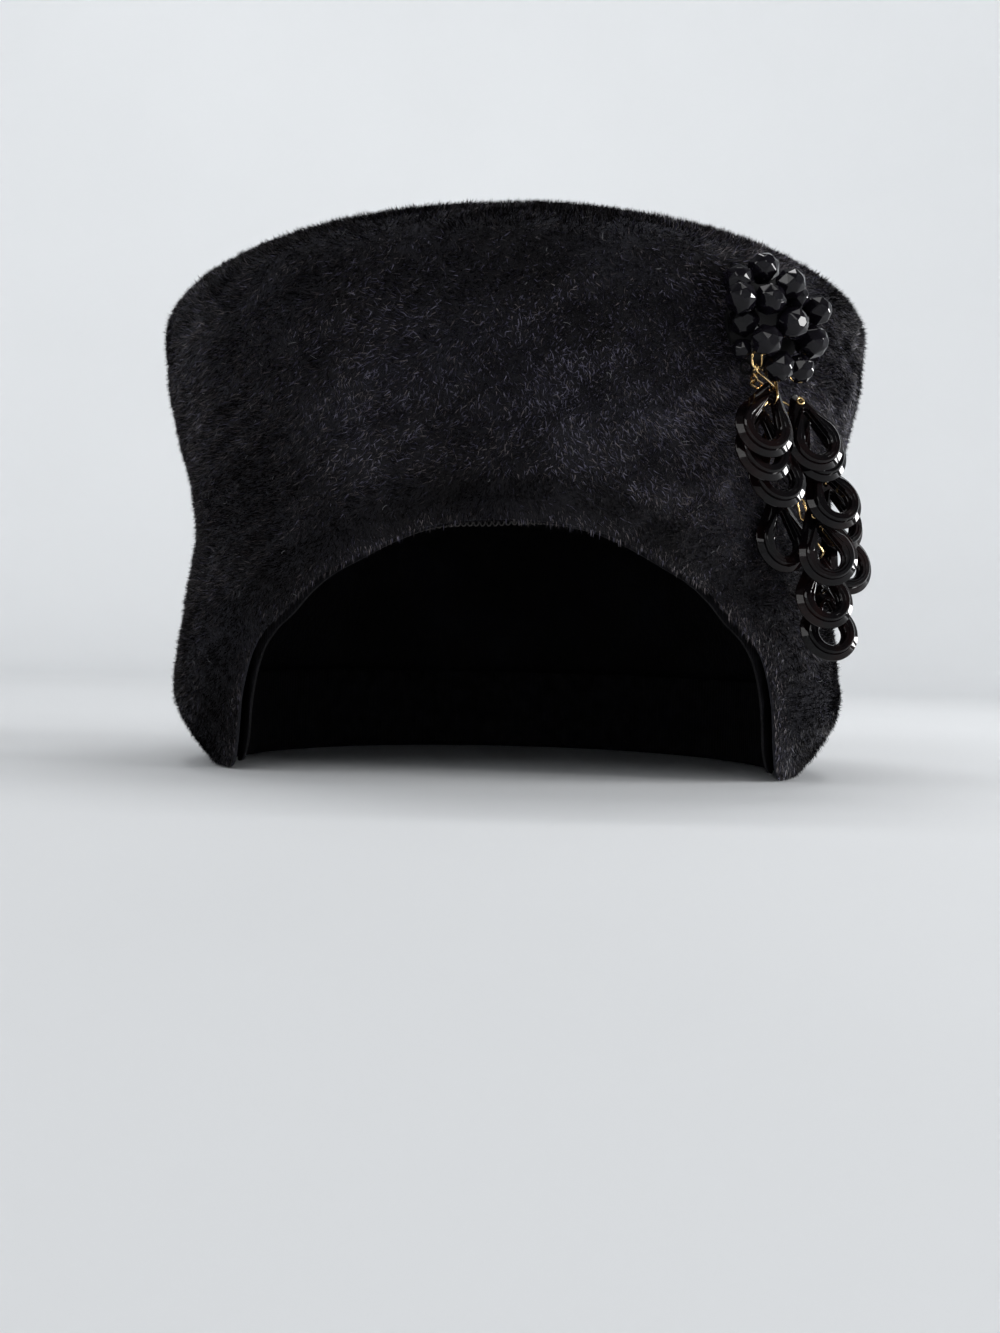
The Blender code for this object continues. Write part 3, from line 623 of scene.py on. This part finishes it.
def skin_samples(rings, gaps, count, rng):
    # random places on the skin, spread evenly by area, with the surface's directions there
    a, b = rings[:-1], rings[1:]
    side = np.roll(a, -1, axis=1) - a
    up = b - a
    normal = np.cross(side, up)
    area = np.linalg.norm(normal, axis=2)
    places = rng.choice(area.size, count, p=(area / area.sum()).ravel())
    i, j = np.unravel_index(places, area.shape)
    n = (j + 1) % rings.shape[1]
    s, t = rng.random((2, count, 1))
    low = rings[i, j] * (1 - s) + rings[i, n] * s
    high = rings[i + 1, j] * (1 - s) + rings[i + 1, n] * s
    point = low * (1 - t) + high * t
    normal = normal[i, j] / area[i, j][:, None]
    up = up[i, j] / np.linalg.norm(up[i, j], axis=1)[:, None]
    gap = gaps[i, j] * (1 - t[:, 0]) + gaps[i + 1, j] * t[:, 0]
    return point, normal, np.cross(up, normal), up, gap


def bell(distance, reach):
    # 1 at no distance, falling smoothly to almost 0 at twice the reach
    return np.exp(-((distance / reach) ** 2))


def painted_sheen_patch(point):
    # 1 in the middle of the painted sheen patch, a pool of light painted on the front, 0 far from it and
    # at the back
    across = ((point[:, 0] - SHEEN_PATCH_ACROSS) / SHEEN_PATCH_WIDTH) ** 2
    tall = ((point[:, 2] - SHEEN_PATCH_HEIGHT) / SHEEN_PATCH_TALL) ** 2
    return np.exp(-across - tall) * (point[:, 1] < 0.0)


def nap_light(point, gap, patch, tuft, edge, painted_sheen):
    # which shade a fibre has by its place, in steps of NAP_SHADES: painted light and shade from the
    # sheen patch, the lip, the band above the rim, the top, the bottom, the right side and its edge,
    # with random patches and tufts
    rim_painted_shade = bell(gap - PAINTED_SHADE_GAP, PAINTED_SHADE_GAP * PAINTED_SHADE_WIDTH_SHARE)
    light = PATCH_LIGHT * patch + TUFT_LIGHT * tuft + PAINTED_SHEEN_LIGHT * painted_sheen + LIP_PAINTED_SHEEN * edge
    light = light + RIM_PAINTED_SHADE * rim_painted_shade + BASE_LIGHT
    light = light - TOP_PAINTED_SHADE * smoothstep((point[:, 2] - SHEEN_PATCH_HEIGHT) / TOP_REACH)
    light = light - LOW_PAINTED_SHADE * smoothstep(1.0 - point[:, 2] / LOW_REACH)
    light = light + SIDE_PAINTED_LIGHT * bell(point[:, 0] - SIDE_ACROSS, SIDE_REACH) * (point[:, 1] < 0.0)
    return light - EDGE_PAINTED_SHADE * smoothstep((point[:, 0] - EDGE_START) / EDGE_REACH)


def nap_mesh(name, rings, gaps, seed):
    # fibres combed in swirls: flatter in some tufts, standing up in others
    rng = np.random.default_rng(seed)
    point, normal, across, up, gap = skin_samples(rings, gaps, NAP_FIBRES, rng)
    swirl = waves(point, NAP_SWIRL, 1)
    tuft = waves(point, NAP_TUFT, 2)
    patch = waves(point, NAP_PATCH, 3)
    edge = bell(gap, NAP_RIM)
    heading = NAP_HEADING + SWIRL_TURN * swirl + TUFT_TURN * tuft
    heading = heading + rng.normal(0.0, HEADING_SPREAD, NAP_FIBRES)
    heading = heading * (1.0 - edge) - math.pi / 2.0 * edge
    lean = NAP_LEAN + LEAN_WAVE * patch + LEAN_WAVE * tuft
    lean = np.clip(lean + rng.normal(0.0, LEAN_SPREAD, NAP_FIBRES), *LEAN_LIMITS)
    flat = across * np.cos(heading)[:, None] + up * np.sin(heading)[:, None]
    along = normal * np.cos(lean)[:, None] + flat * np.sin(lean)[:, None]
    wide = np.cross(along, normal + NAP_TWIST * rng.normal(size=normal.shape))
    wide /= np.linalg.norm(wide, axis=1)[:, None]
    length = NAP_LENGTH * rng.uniform(*NAP_LENGTH_SHARES, NAP_FIBRES) * (1.0 - NAP_RIM_TRIM * edge)
    width = NAP_WIDTH * rng.uniform(*NAP_WIDTH_SHARES, NAP_FIBRES)
    lock = rng.random(NAP_FIBRES) < LOCK_SHARE
    length = np.where(lock, length * LOCK_LENGTH, length)
    width = np.where(lock, width * LOCK_WIDTH, width)
    root = point - normal * NAP_ROOT
    tip = root + along * length[:, None]
    tip[:, 2] = np.maximum(tip[:, 2], FLOOR_GAP)
    root[:, 2] = np.maximum(root[:, 2], FLOOR_GAP)
    corners = np.stack([root - wide * width[:, None] / 2, root + wide * width[:, None] / 2, tip], axis=1)
    mesh = bpy.data.meshes.new(name)
    mesh.vertices.add(NAP_FIBRES * 3)
    mesh.vertices.foreach_set("co", corners.ravel())
    mesh.loops.add(NAP_FIBRES * 3)
    mesh.loops.foreach_set("vertex_index", np.arange(NAP_FIBRES * 3, dtype=np.int32))
    mesh.polygons.add(NAP_FIBRES)
    mesh.polygons.foreach_set("loop_start", np.arange(0, NAP_FIBRES * 3, 3, dtype=np.int32))
    # painted light and shade: the sheen patch and the other placed steps of nap_light pick each fibre's
    # shade
    painted_sheen = painted_sheen_patch(point)
    light = nap_light(point, gap, patch, tuft, edge, painted_sheen)
    locks = rng.uniform(0.0, LOCK_LIGHT_MOST, NAP_FIBRES)
    strays = rng.gamma(STRAY_LIGHT_SHAPE, STRAY_LIGHT_SCALE, NAP_FIBRES)
    light = light + np.where(lock, locks, strays)
    shade = np.clip(np.round(light), 0, len(NAP_SHADES) - 1).astype(np.int32)
    warm = rng.random(NAP_FIBRES) > COOL_SHARE + COOL_IN_PAINTED_SHEEN * painted_sheen + COOL_PATCH * patch
    mesh.polygons.foreach_set("material_index", shade * 2 + warm)
    mesh.update()
    return mesh


def build_nap(rings, gaps):
    materials = []
    for number, tints in enumerate(NAP_SHADES):
        for tint, colour in zip(("cool", "warm"), tints):
            fibre, _, shader = new_material(f"nap_{tint}_{number}", colour, Roughness=0.5)
            shader.inputs["Specular IOR Level"].default_value = NAP_SHINE + NAP_SHINE_STEP * number
            materials.append(fibre)
    for number in range(NAP_PIECES):
        name = f"felt_nap_{number + 1}"
        piece(name, nap_mesh(name, rings, gaps, NAP_SEED + number), "black_felt", *materials)


def build_lint(rings, gaps):
    # stray pale fibres lying in the nap
    rng = np.random.default_rng(LINT_SEED)
    point, normal, across, up, _ = skin_samples(rings, gaps, LINT_COUNT, rng)
    points, faces = [], []
    for k in range(LINT_COUNT):
        heading = rng.uniform(0.0, 2.0 * math.pi)
        bend = rng.normal(0.0, LINT_BEND)
        length = LINT_LENGTH * rng.uniform(*LINT_LENGTH_SHARES)
        place = point[k] + normal[k] * NAP_LENGTH * rng.uniform(*LINT_DEPTH_SHARES)
        for step in range(LINT_STEPS + 1):
            place[2] = max(place[2], FLOOR_GAP)
            flat = across[k] * math.cos(heading) + up[k] * math.sin(heading)
            side = np.cross(normal[k], flat) * LINT_WIDTH / 2.0
            points += [place - side, place + side]
            place = place + flat * length / LINT_STEPS
            heading += bend / LINT_STEPS * 2.0
        base = k * (LINT_STEPS + 1) * 2
        for step in range(LINT_STEPS):
            s = base + step * 2
            faces.append((s, s + 1, s + 3, s + 2))
    lint = new_material("lint_fibre", LINT_COLOUR, Roughness=0.7)[0]
    piece("felt_lint", mesh_of("felt_lint", points, faces), "black_felt", lint)


def ribbon_material():
    material, tree, shader = new_material("ribbed_ribbon", Roughness=0.85, Specular_IOR_Level=0.12)
    colour = add_ramp(tree, add_noise(tree, 240.0, 3.0), RIBBON_COLOURS)
    tree.links.new(colour, shader.inputs["Base Color"])
    add_bump(tree, shader, add_noise(tree, 1500.0, 2.0), 0.00015)
    return material


def band_line(angle, height, inset):
    # a line round the ribbon at one height above its lower edge
    rim_z = rim_height(angle)
    lift = rim_z / ARCH_RISE
    seat = BAND_SEAT_LIFT * (1.0 - smoothstep(lift * BAND_SEAT_FADE))
    low = rim_z + seat - BAND_PEEK * smoothstep(lift)
    share = smooth_table(WALL_SHARES, rim_z / girth_height(angle))
    depth = curl_depth(rim_z) + FELT_THICKNESS + BAND_GAP + inset
    x = (CROWN_WIDTH / 2.0 * share - depth) * np.sin(angle)
    y = -(CROWN_DEPTH / 2.0 * share - depth) * np.cos(angle)
    return np.stack([x, y, low + height], axis=1)


def build_ribbon():
    material = ribbon_material()
    angle = column_angles(RIB_COUNT * 2)[0]
    ribs = np.where(np.arange(RIB_COUNT * 2) % 2, RIB_DEPTH, 0.0)
    rows = []
    foot = LOOP_HEIGHT * BAND_FOOT_SHARE
    for share, inset in ((0.0, 0.0), (0.5, 0.0), (1.0, 0.0), (1.0, 1.0), (0.5, 1.0), (0.0, 1.0)):
        height = foot + (BAND_HEIGHT - foot) * share
        depth = ribs + inset * (BAND_THICKNESS - RIB_DEPTH) - ribs * inset * 2.0
        rows.append(band_line(angle, height, depth))
    points = np.concatenate(rows)
    mesh = mesh_of("ribbon_band", points, grid_faces(len(rows), RIB_COUNT * 2, closed=True))
    piece("ribbon_band", mesh, "black_ribbon", material, stands_for=["sweatband"])
    loops = bpy.data.curves.new("ribbon_loops", "CURVE")
    loops.dimensions = "3D"
    loops.bevel_depth = LOOP_WIRE
    loops.bevel_resolution = 1
    start = column_angles(RIB_COUNT)[0]
    step = np.diff(np.append(start, start[0] + 2.0 * math.pi))
    turns = np.linspace(0.0, math.pi, LOOP_STEPS)
    lines = []
    shown = bell(np.degrees(start) - LOOP_PEEK_MIDDLE_DEG, LOOP_PEEK_DEG)
    peek = LOOP_PEEK * shown - LOOP_HIDE
    for turn in turns:
        place = start + step * (0.5 - LOOP_HALF_WIDTH * math.cos(turn))
        height = LOOP_HEIGHT - (LOOP_HEIGHT - LOOP_WIRE + peek) * math.sin(turn)
        lines.append(band_line(place, height, np.full(RIB_COUNT, BAND_THICKNESS / 2.0)))
    for k in range(RIB_COUNT):
        spline = loops.splines.new("POLY")
        spline.points.add(len(lines) - 1)
        for number, line in enumerate(lines):
            spline.points[number].co = (*line[k], 1.0)
    thread, tree, shader = new_material("loop_thread", Roughness=0.8, Specular_IOR_Level=0.2)
    # painted light: the thread is paler toward the top of the arch
    colour = add_ramp(tree, add_height(tree, ARCH_RISE), LOOP_PAINTED_LIGHT_COLOURS)
    tree.links.new(colour, shader.inputs["Base Color"])
    piece("ribbon_loops", loops, "black_ribbon", thread)


def brooch_normal():
    angle = math.radians(BROOCH_ANGLE_DEG)
    return math.atan2(math.sin(angle) / CROWN_WIDTH, math.cos(angle) / CROWN_DEPTH)


def brooch_point():
    angle = math.radians(BROOCH_ANGLE_DEG)
    height = girth_height(angle) - BROOCH_BELOW_GIRTH
    share = float(smooth_table(WALL_SHARES, np.array([height / girth_height(angle)]))[0])
    x = CROWN_WIDTH / 2.0 * share * math.sin(angle)
    y = -CROWN_DEPTH / 2.0 * share * math.cos(angle)
    return Vector((x, y, height))


def upright_frame(origin, heading):
    # local X runs across the wall, local Y out of it, local Z up
    turned = Matrix.Rotation(heading, 4, "Z") @ Matrix.Diagonal((1.0, -1.0, 1.0, 1.0))
    return Matrix.Translation(origin) @ turned


HANG_FRAME = upright_frame(brooch_point(), brooch_normal())
PLATE_FRAME = upright_frame(
    HANG_FRAME @ Vector((0.0, BROOCH_STANDOFF, 0.0)),
    brooch_normal() + math.radians(BROOCH_TURN_DEG),
)


def direction(matrix, vector):
    return (matrix.to_3x3() @ Vector(vector)).normalized()


def jet_material():
    material, tree, shader = new_material("jet_glass", Roughness=0.02, IOR=1.50, Specular_IOR_Level=0.23)
    colour = add_ramp(tree, add_noise(tree, 90.0, 2.0), JET_COLOURS)
    tree.links.new(colour, shader.inputs["Base Color"])
    return material


def bead_mesh(radius, number):
    # facets between rings of corners, each ring turned half a side from the last
    work = bmesh.new()
    for level, polar in enumerate(BEAD_RING_DEGS):
        polar = math.radians(polar)
        for k in range(BEAD_SIDES):
            turn = 2.0 * math.pi * (k + 0.5 * (level % 2)) / BEAD_SIDES
            flat = radius * math.sin(polar)
            work.verts.new((flat * math.cos(turn), flat * math.sin(turn), radius * math.cos(polar)))
    bmesh.ops.convex_hull(work, input=work.verts)
    bmesh.ops.dissolve_limit(work, angle_limit=math.radians(1.0), verts=work.verts, edges=work.edges)
    bmesh.ops.bevel(
        work, geom=work.edges[:], offset=radius * BEAD_EDGE, segments=1, affect="EDGES", profile=0.5
    )
    bmesh.ops.recalc_face_normals(work, faces=work.faces)
    mesh = bpy.data.meshes.new(f"bead_{number:02d}")
    work.to_mesh(mesh)
    work.free()
    return mesh


def build_beads():
    material = jet_material()
    for number, bead in enumerate(named_rows(BEAD_FIELDS, BEADS)):
        centre = Vector((bead.across, bead.out, bead.up)) * BEAD_DIAMETER
        middle = Vector((PLATE_ACROSS, 0.0, PLATE_UP))
        from_middle = Vector((centre.x, 0.0, centre.z)) - middle
        foot = middle + from_middle * STALK_FOOT_SHARE
        foot.y = PLATE_THICKNESS / 2.0
        axis = direction(PLATE_FRAME, centre - foot)
        spin = Matrix.Rotation(math.radians(BEAD_SPIN_STEP_DEG * number), 4, "Z")
        turned = axis.to_track_quat("Z", "Y").to_matrix().to_4x4() @ spin
        mesh = bead_mesh(bead.size * BEAD_DIAMETER / 2.0 * BEAD_FULLNESS, number + 1)
        mesh.transform(Matrix.Translation(PLATE_FRAME @ centre) @ turned)
        piece("facet_" + bead.name, mesh, "jet_glass", material, stands_for=[bead.name])


def plastic_material():
    material, tree, shader = new_material(
        "gloss_plastic", Roughness=0.025, IOR=1.50, Specular_IOR_Level=0.19
    )
    colour = add_ramp(tree, add_noise(tree, 120.0, 2.0), PLASTIC_COLOURS)
    tree.links.new(colour, shader.inputs["Base Color"])
    return material


def teardrop(tip_radius, tip_y, low_radius, low_y):
    # outline around two circles, tangent to both
    lean = math.asin((low_radius - tip_radius) / (tip_y - low_y))
    points = []
    for k in range(DROP_ARC_STEPS + 1):
        turn = math.pi - lean + (math.pi + 2.0 * lean) * k / DROP_ARC_STEPS
        points.append((low_radius * math.cos(turn), low_y + low_radius * math.sin(turn)))
    for k in range(DROP_TIP_STEPS + 1):
        turn = lean + (math.pi - 2.0 * lean) * k / DROP_TIP_STEPS
        points.append((tip_radius * math.cos(turn), tip_y + tip_radius * math.sin(turn)))
    return np.array(points)


def ring_mesh(name, outer, inner, profile):
    # a closed ring whose section follows the profile from the outer outline to the inner one
    rows = []
    for step in named_rows(SECTION_FIELDS, profile):
        flat = outer * (1.0 - step.share) + inner * step.share
        rows.append(np.column_stack([flat, np.full(len(flat), step.height)]))
    mesh = mesh_of(name, np.concatenate(rows), grid_faces(len(rows), len(outer), closed=True))
    work = bmesh.new()
    work.from_mesh(mesh)
    bmesh.ops.recalc_face_normals(work, faces=work.faces)
    work.to_mesh(mesh)
    work.free()
    return mesh


def drop_mesh():
    # the hole is at the origin, the tip toward +Y and the front toward +Z
    half = DROP_WIDTH / 2.0
    low_y = -(DROP_LENGTH - DROP_TIP_RADIUS - half)
    step = DROP_WINDOW_STEP
    outline = teardrop(DROP_TIP_RADIUS, 0.0, half, low_y)
    top_y, bottom_y = -DROP_WINDOW_TOP, -DROP_WINDOW_BOTTOM
    window = teardrop(DROP_WINDOW_TOP_RADIUS, top_y, DROP_WINDOW_RADIUS, bottom_y)
    tier_outline = teardrop(DROP_TIER_TIP_RADIUS, -DROP_TIER_TIP_DROP, half - DROP_TIER_INSET, low_y)
    tier_window = teardrop(DROP_WINDOW_TOP_RADIUS + step, top_y, DROP_WINDOW_RADIUS + step, bottom_y)
    flange = new_object("drop_flange", ring_mesh("drop_flange", outline, window, FLANGE_SECTION))
    tier = new_object("drop_tier", ring_mesh("drop_tier", tier_outline, tier_window, TIER_SECTION))
    bpy.ops.mesh.primitive_cylinder_add(
        vertices=DROP_HOLE_SIDES, radius=DROP_HOLE_RADIUS, depth=DROP_FLANGE * 4.0
    )
    hole = bpy.context.active_object
    for cutter, operation in ((tier, "UNION"), (hole, "DIFFERENCE")):
        modifier = flange.modifiers.new(operation.lower(), "BOOLEAN")
        modifier.operation = operation
        modifier.object = cutter
    bpy.context.view_layer.update()
    graph = bpy.context.evaluated_depsgraph_get()
    mesh = bpy.data.meshes.new_from_object(flange.evaluated_get(graph))
    for thing in (flange, tier, hole):
        bpy.data.objects.remove(thing, do_unlink=True)
    mesh.shade_smooth()
    mesh.set_sharp_from_angle(angle=math.radians(DROP_SHARP_DEG))
    return mesh


def drop_matrix(drop):
    turn, lean, swing = math.radians(drop.turn), math.radians(drop.lean), math.radians(drop.swing)
    face = Vector((math.sin(turn), math.cos(turn), 0.0))
    side = Vector((math.cos(turn), -math.sin(turn), 0.0))
    rise = Vector((0.0, 0.0, 1.0)) * math.cos(lean) - face * math.sin(lean)
    normal = face * math.cos(lean) + Vector((0.0, 0.0, 1.0)) * math.sin(lean)
    tip = rise * math.cos(swing) - side * math.sin(swing)
    wide = side * math.cos(swing) + rise * math.sin(swing)
    turned = Matrix((wide, tip, normal)).transposed().to_4x4()
    centre = Vector((drop.across, drop.out, drop.up)) * DROP_LENGTH
    return HANG_FRAME @ Matrix.Translation(centre) @ turned


def build_drops():
    material = plastic_material()
    pattern = drop_mesh()
    for drop in named_rows(DROP_FIELDS, DROPS):
        place = drop_matrix(drop)
        mesh = pattern.copy()
        mesh.transform(place)
        if place.determinant() < 0:
            mesh.flip_normals()
        piece("gloss_" + drop.name, mesh, "gloss_black", material, stands_for=[drop.name])


def wire_curve(name, radius):
    curve = bpy.data.curves.new(name, "CURVE")
    curve.dimensions = "3D"
    curve.bevel_depth = radius
    curve.bevel_resolution = 3
    curve.use_fill_caps = True
    return curve


def add_wire(curve, points, closed=False):
    spline = curve.splines.new("POLY")
    spline.points.add(len(points) - 1)
    spline.use_cyclic_u = closed
    for k, point in enumerate(points):
        spline.points[k].co = (*point, 1.0)


def add_oval(curve, middle, along, side, half_long, half_wide):
    # a closed oval of wire round its middle
    points = []
    for k in range(OVAL_STEPS):
        turn = 2.0 * math.pi * (k + 0.5) / OVAL_STEPS
        straight = math.copysign(half_long - half_wide, math.cos(turn))
        reach = half_wide * math.cos(turn) + straight
        points.append(middle + along * reach + side * half_wide * math.sin(turn))
    add_wire(curve, points, True)


def along_route(points, distance):
    for a, b in zip(points, points[1:]):
        step = (b - a).length
        if distance <= step:
            return a + (b - a) * (distance / step)
        distance -= step
    return points[-1] + (points[-1] - points[-2]).normalized() * distance


def in_bunch(share):
    return HANG_FRAME @ (Vector(share) * DROP_LENGTH)


def build_chain(material):
    rows = {drop.name: drop_matrix(drop) for drop in named_rows(DROP_FIELDS, DROPS)}
    across = direction(PLATE_FRAME, (1.0, 0.0, 0.0))
    up = Vector((0.0, 0.0, 1.0))
    out = direction(HANG_FRAME, (0.0, 1.0, 0.0))
    ring = PLATE_FRAME @ Vector(JUMP_RING_PLACE)
    foot = ring - up * JUMP_RING_TALL
    links = wire_curve("chain_links", LINK_WIRE_RADIUS)
    add_oval(links, ring, up, across, JUMP_RING_TALL, JUMP_RING_WIDE)
    # the flat oval link to the first drop and the ring through its window
    first = rows["drop_01"]
    low = first @ Vector((0.0, DROP_TIP_RADIUS * 0.5, LINK_WIRE_RADIUS * 2.5))
    along = (low - foot).normalized()
    side = along.cross(direction(first, (0.0, 0.0, 1.0))).normalized()
    half = (low - foot).length / 2.0 + OVAL_LINK_OVERLAP
    add_oval(links, (foot + low) / 2.0, along, side, half, OVAL_LINK_WIDTH / 2.0)
    middle = first @ Vector((DROP_TIP_RADIUS * 0.25, -DROP_TIP_RADIUS * 0.25, -DROP_FLANGE / 2.0))
    along = direction(first, (0.25, -1.0, 0.0))
    add_oval(links, middle, along, direction(first, (0.0, 0.0, 1.0)), TIP_RING_REACH, TIP_RING_DEPTH)
    # the chain behind the drops
    route = [foot] + [in_bunch(share) for share in CHAIN_ROUTE_SHARES]
    total = sum((b - a).length for a, b in zip(route, route[1:]))
    pitch = LINK_LENGTH - 4.0 * LINK_WIRE_RADIUS + LINK_BITE
    count = int(total / pitch)
    joints = []
    for k in range(count):
        before = along_route(route, pitch * k)
        after = along_route(route, pitch * (k + 1.0))
        along = (after - before).normalized()
        side = along.cross(out).normalized()
        face = side.cross(along).normalized()
        wide = (side + face if k % 2 else side - face).normalized()
        half = LINK_LENGTH / 2.0 - LINK_WIRE_RADIUS
        add_oval(links, (after + before) / 2.0, along, wide, half, LINK_WIDTH / 2.0 - LINK_WIRE_RADIUS)
        joints.append(after)
    arms = wire_curve("chain_arms", ARM_RADIUS)
    eyelets = wire_curve("pin_eyelets", EYELET_WIRE)
    for arm in named_rows(ARM_FIELDS, CHAIN_ARMS):
        joint = joints[min(count - 1, round(arm.along * (count - 1)))]
        path = [joint] + [in_bunch(point) for point in arm.via]
        for number, name in enumerate(arm.holds):
            normal = direction(rows[name], (0.0, 0.0, 1.0))
            hole = rows[name].translation
            if number:
                path.append(in_bunch(LAST_LINK_SHARES))
            if arm.from_front and number == 0:
                reach = PIN_STANDOFF if len(arm.holds) > 1 else PIN_END
                path.append(hole + normal * PIN_STANDOFF)
                path.append(hole - normal * (DROP_FLANGE + reach))
            else:
                path.append(hole - normal * (DROP_FLANGE + PIN_STANDOFF))
                path.append(hole + normal * PIN_END)
            if arm.eyelet:
                tall = direction(rows[name], (0.0, 1.0, 0.0))
                wide = direction(rows[name], (1.0, 0.0, 0.0))
                add_oval(eyelets, hole + normal * EYELET_LIFT, tall, wide, EYELET_RADIUS, EYELET_RADIUS)
        add_wire(arms, path)
    piece("chain_links", links, "gold_wire", material, stands_for=["chain"])
    piece("chain_arms", arms, "gold_wire", material)
    piece("pin_eyelets", eyelets, "gold_wire", material)


def gold_material():
    gold, tree, shader = new_material("gold_plate", Metallic=1.0, Roughness=0.20)
    tone = add_ramp(tree, add_noise(tree, 700.0, 2.0), GOLD_COLOURS)
    tree.links.new(tone, shader.inputs["Base Color"])
    return gold


def dress_plate():
    black, tree, shader = new_material("lacquered_metal", Roughness=0.75, Specular_IOR_Level=0.12)
    tone = add_ramp(tree, add_noise(tree, 300.0, 3.0), LACQUER_COLOURS)
    tree.links.new(tone, shader.inputs["Base Color"])
    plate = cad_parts["brooch_base"]
    for slot in plate.material_slots:
        slot.material = black


# studio
BOWL_RADIUS = 1.50
BOWL_CORNER = 0.55
BOWL_HEIGHT = 0.95
BOWL_HUB = 0.02
BOWL_CORNER_STEPS = 12
BOWL_COLUMNS = 96
BACKDROP_COLOURS = ((0.3, (0.6912, 0.7056, 0.7200)), (0.7, (0.7200, 0.7350, 0.7500)))
WORLD_COLOUR = (0.93, 0.96, 1.0, 1.0)
WORLD_STRENGTH = 0.16
# soft lights: centre, target, width, height and radiance
PANEL_FIELDS = ("name", "place", "target", "width", "height", "radiance")
PANELS = (
    ("panel_front", (-0.12, -1.30, 0.90), (0.0, 0.0, 0.09), 0.85, 0.50, 3.4),
    ("panel_left", (-0.95, -0.75, 0.80), (0.0, 0.0, 0.09), 0.50, 0.50, 4.5),
    ("pane_near", (1.00, -0.085, 0.165), (0.0, 0.0, 0.10), 0.17, 0.20, 46.0),
    ("pane_far", (0.99, 0.135, 0.165), (0.0, 0.0, 0.10), 0.17, 0.20, 46.0),
    ("pane_small", (0.90, -0.42, 0.22), (0.0, 0.0, 0.10), 0.15, 0.22, 30.0),
    ("panel_top", (0.0, 0.10, 1.50), (0.0, 0.0, 0.0), 1.00, 0.80, 1.9),
    ("panel_back", (0.0, 0.30, 1.35), (0.0, 1.50, 0.45), 1.20, 0.35, 6.0),
)


def build_stage():
    rows = []
    profile = [(0.0, 0.0), (BOWL_RADIUS - BOWL_CORNER, 0.0)]
    for k in range(1, BOWL_CORNER_STEPS + 1):
        turn = math.pi / 2.0 * k / BOWL_CORNER_STEPS
        radius = BOWL_RADIUS - BOWL_CORNER * (1.0 - math.sin(turn))
        profile.append((radius, BOWL_CORNER * (1.0 - math.cos(turn))))
    profile.append((BOWL_RADIUS, BOWL_HEIGHT))
    turns = np.linspace(0.0, 2.0 * math.pi, BOWL_COLUMNS, endpoint=False)
    for radius, height in profile:
        reach = max(radius, BOWL_HUB)
        level = np.full(BOWL_COLUMNS, height)
        rows.append(np.stack([reach * np.cos(turns), reach * np.sin(turns), level], axis=1))
    faces = grid_faces(len(rows), BOWL_COLUMNS)
    faces.append(tuple(reversed(range(BOWL_COLUMNS))))
    mesh = mesh_of("studio_bowl", np.concatenate(rows), faces)
    mesh.flip_normals()
    mesh.shade_smooth()
    cloth, tree, shader = new_material("pale_cloth", Roughness=0.9, Specular_IOR_Level=0.2)
    tone = add_ramp(tree, add_noise(tree, 2.4, 3.0), BACKDROP_COLOURS)
    tree.links.new(tone, shader.inputs["Base Color"])
    add_bump(tree, shader, add_noise(tree, 3.0, 2.0, 0.4), 0.02, 0.25)
    bowl = new_object("studio_bowl", mesh, cloth)


def build_lights():
    for panel in named_rows(PANEL_FIELDS, PANELS):
        lamp = bpy.data.lights.new(panel.name, "AREA")
        lamp.shape = "RECTANGLE"
        lamp.size = panel.width
        lamp.size_y = panel.height
        lamp.energy = panel.radiance * math.pi * panel.width * panel.height
        thing = bpy.data.objects.new(panel.name, lamp)
        SCENE.collection.objects.link(thing)
        aim = Vector(panel.target) - Vector(panel.place)
        turned = aim.to_track_quat("-Z", "Y").to_matrix().to_4x4()
        thing.visible_camera = False
        thing.matrix_world = Matrix.Translation(panel.place) @ turned
    world = bpy.data.worlds.new("studio")
    world.use_nodes = True
    back = world.node_tree.nodes["Background"]
    back.inputs["Color"].default_value = WORLD_COLOUR
    back.inputs["Strength"].default_value = WORLD_STRENGTH
    SCENE.world = world
    SCENE.view_settings.view_transform = "Standard"


def build_camera():
    data = bpy.data.cameras.new("photo_view")
    camera = bpy.data.objects.new("photo_view", data)
    SCENE.collection.objects.link(camera)
    data.lens = LENS_MM
    data.sensor_width = SENSOR_MM
    data.shift_x = VIEW_SHIFT_PX / IMAGE_HEIGHT
    data.clip_start = 0.01
    pitch = Matrix.Rotation(math.pi / 2.0 - math.radians(CAMERA_PITCH_DEG), 4, "X")
    camera.matrix_world = Matrix.Translation(CAMERA_PLACE) @ pitch @ Matrix.Rotation(CAMERA_ROLL, 4, "Z")
    SCENE.camera = camera


def corners(box):
    return [[float(v) for v in corner] for corner in box]


build_camera()
build_lights()
build_stage()
felt_rings, felt_gaps = build_felt(felt_material())
build_nap(felt_rings, felt_gaps)
build_lint(felt_rings, felt_gaps)
build_ribbon()
build_beads()
build_drops()
build_chain(gold_material())
dress_plate()
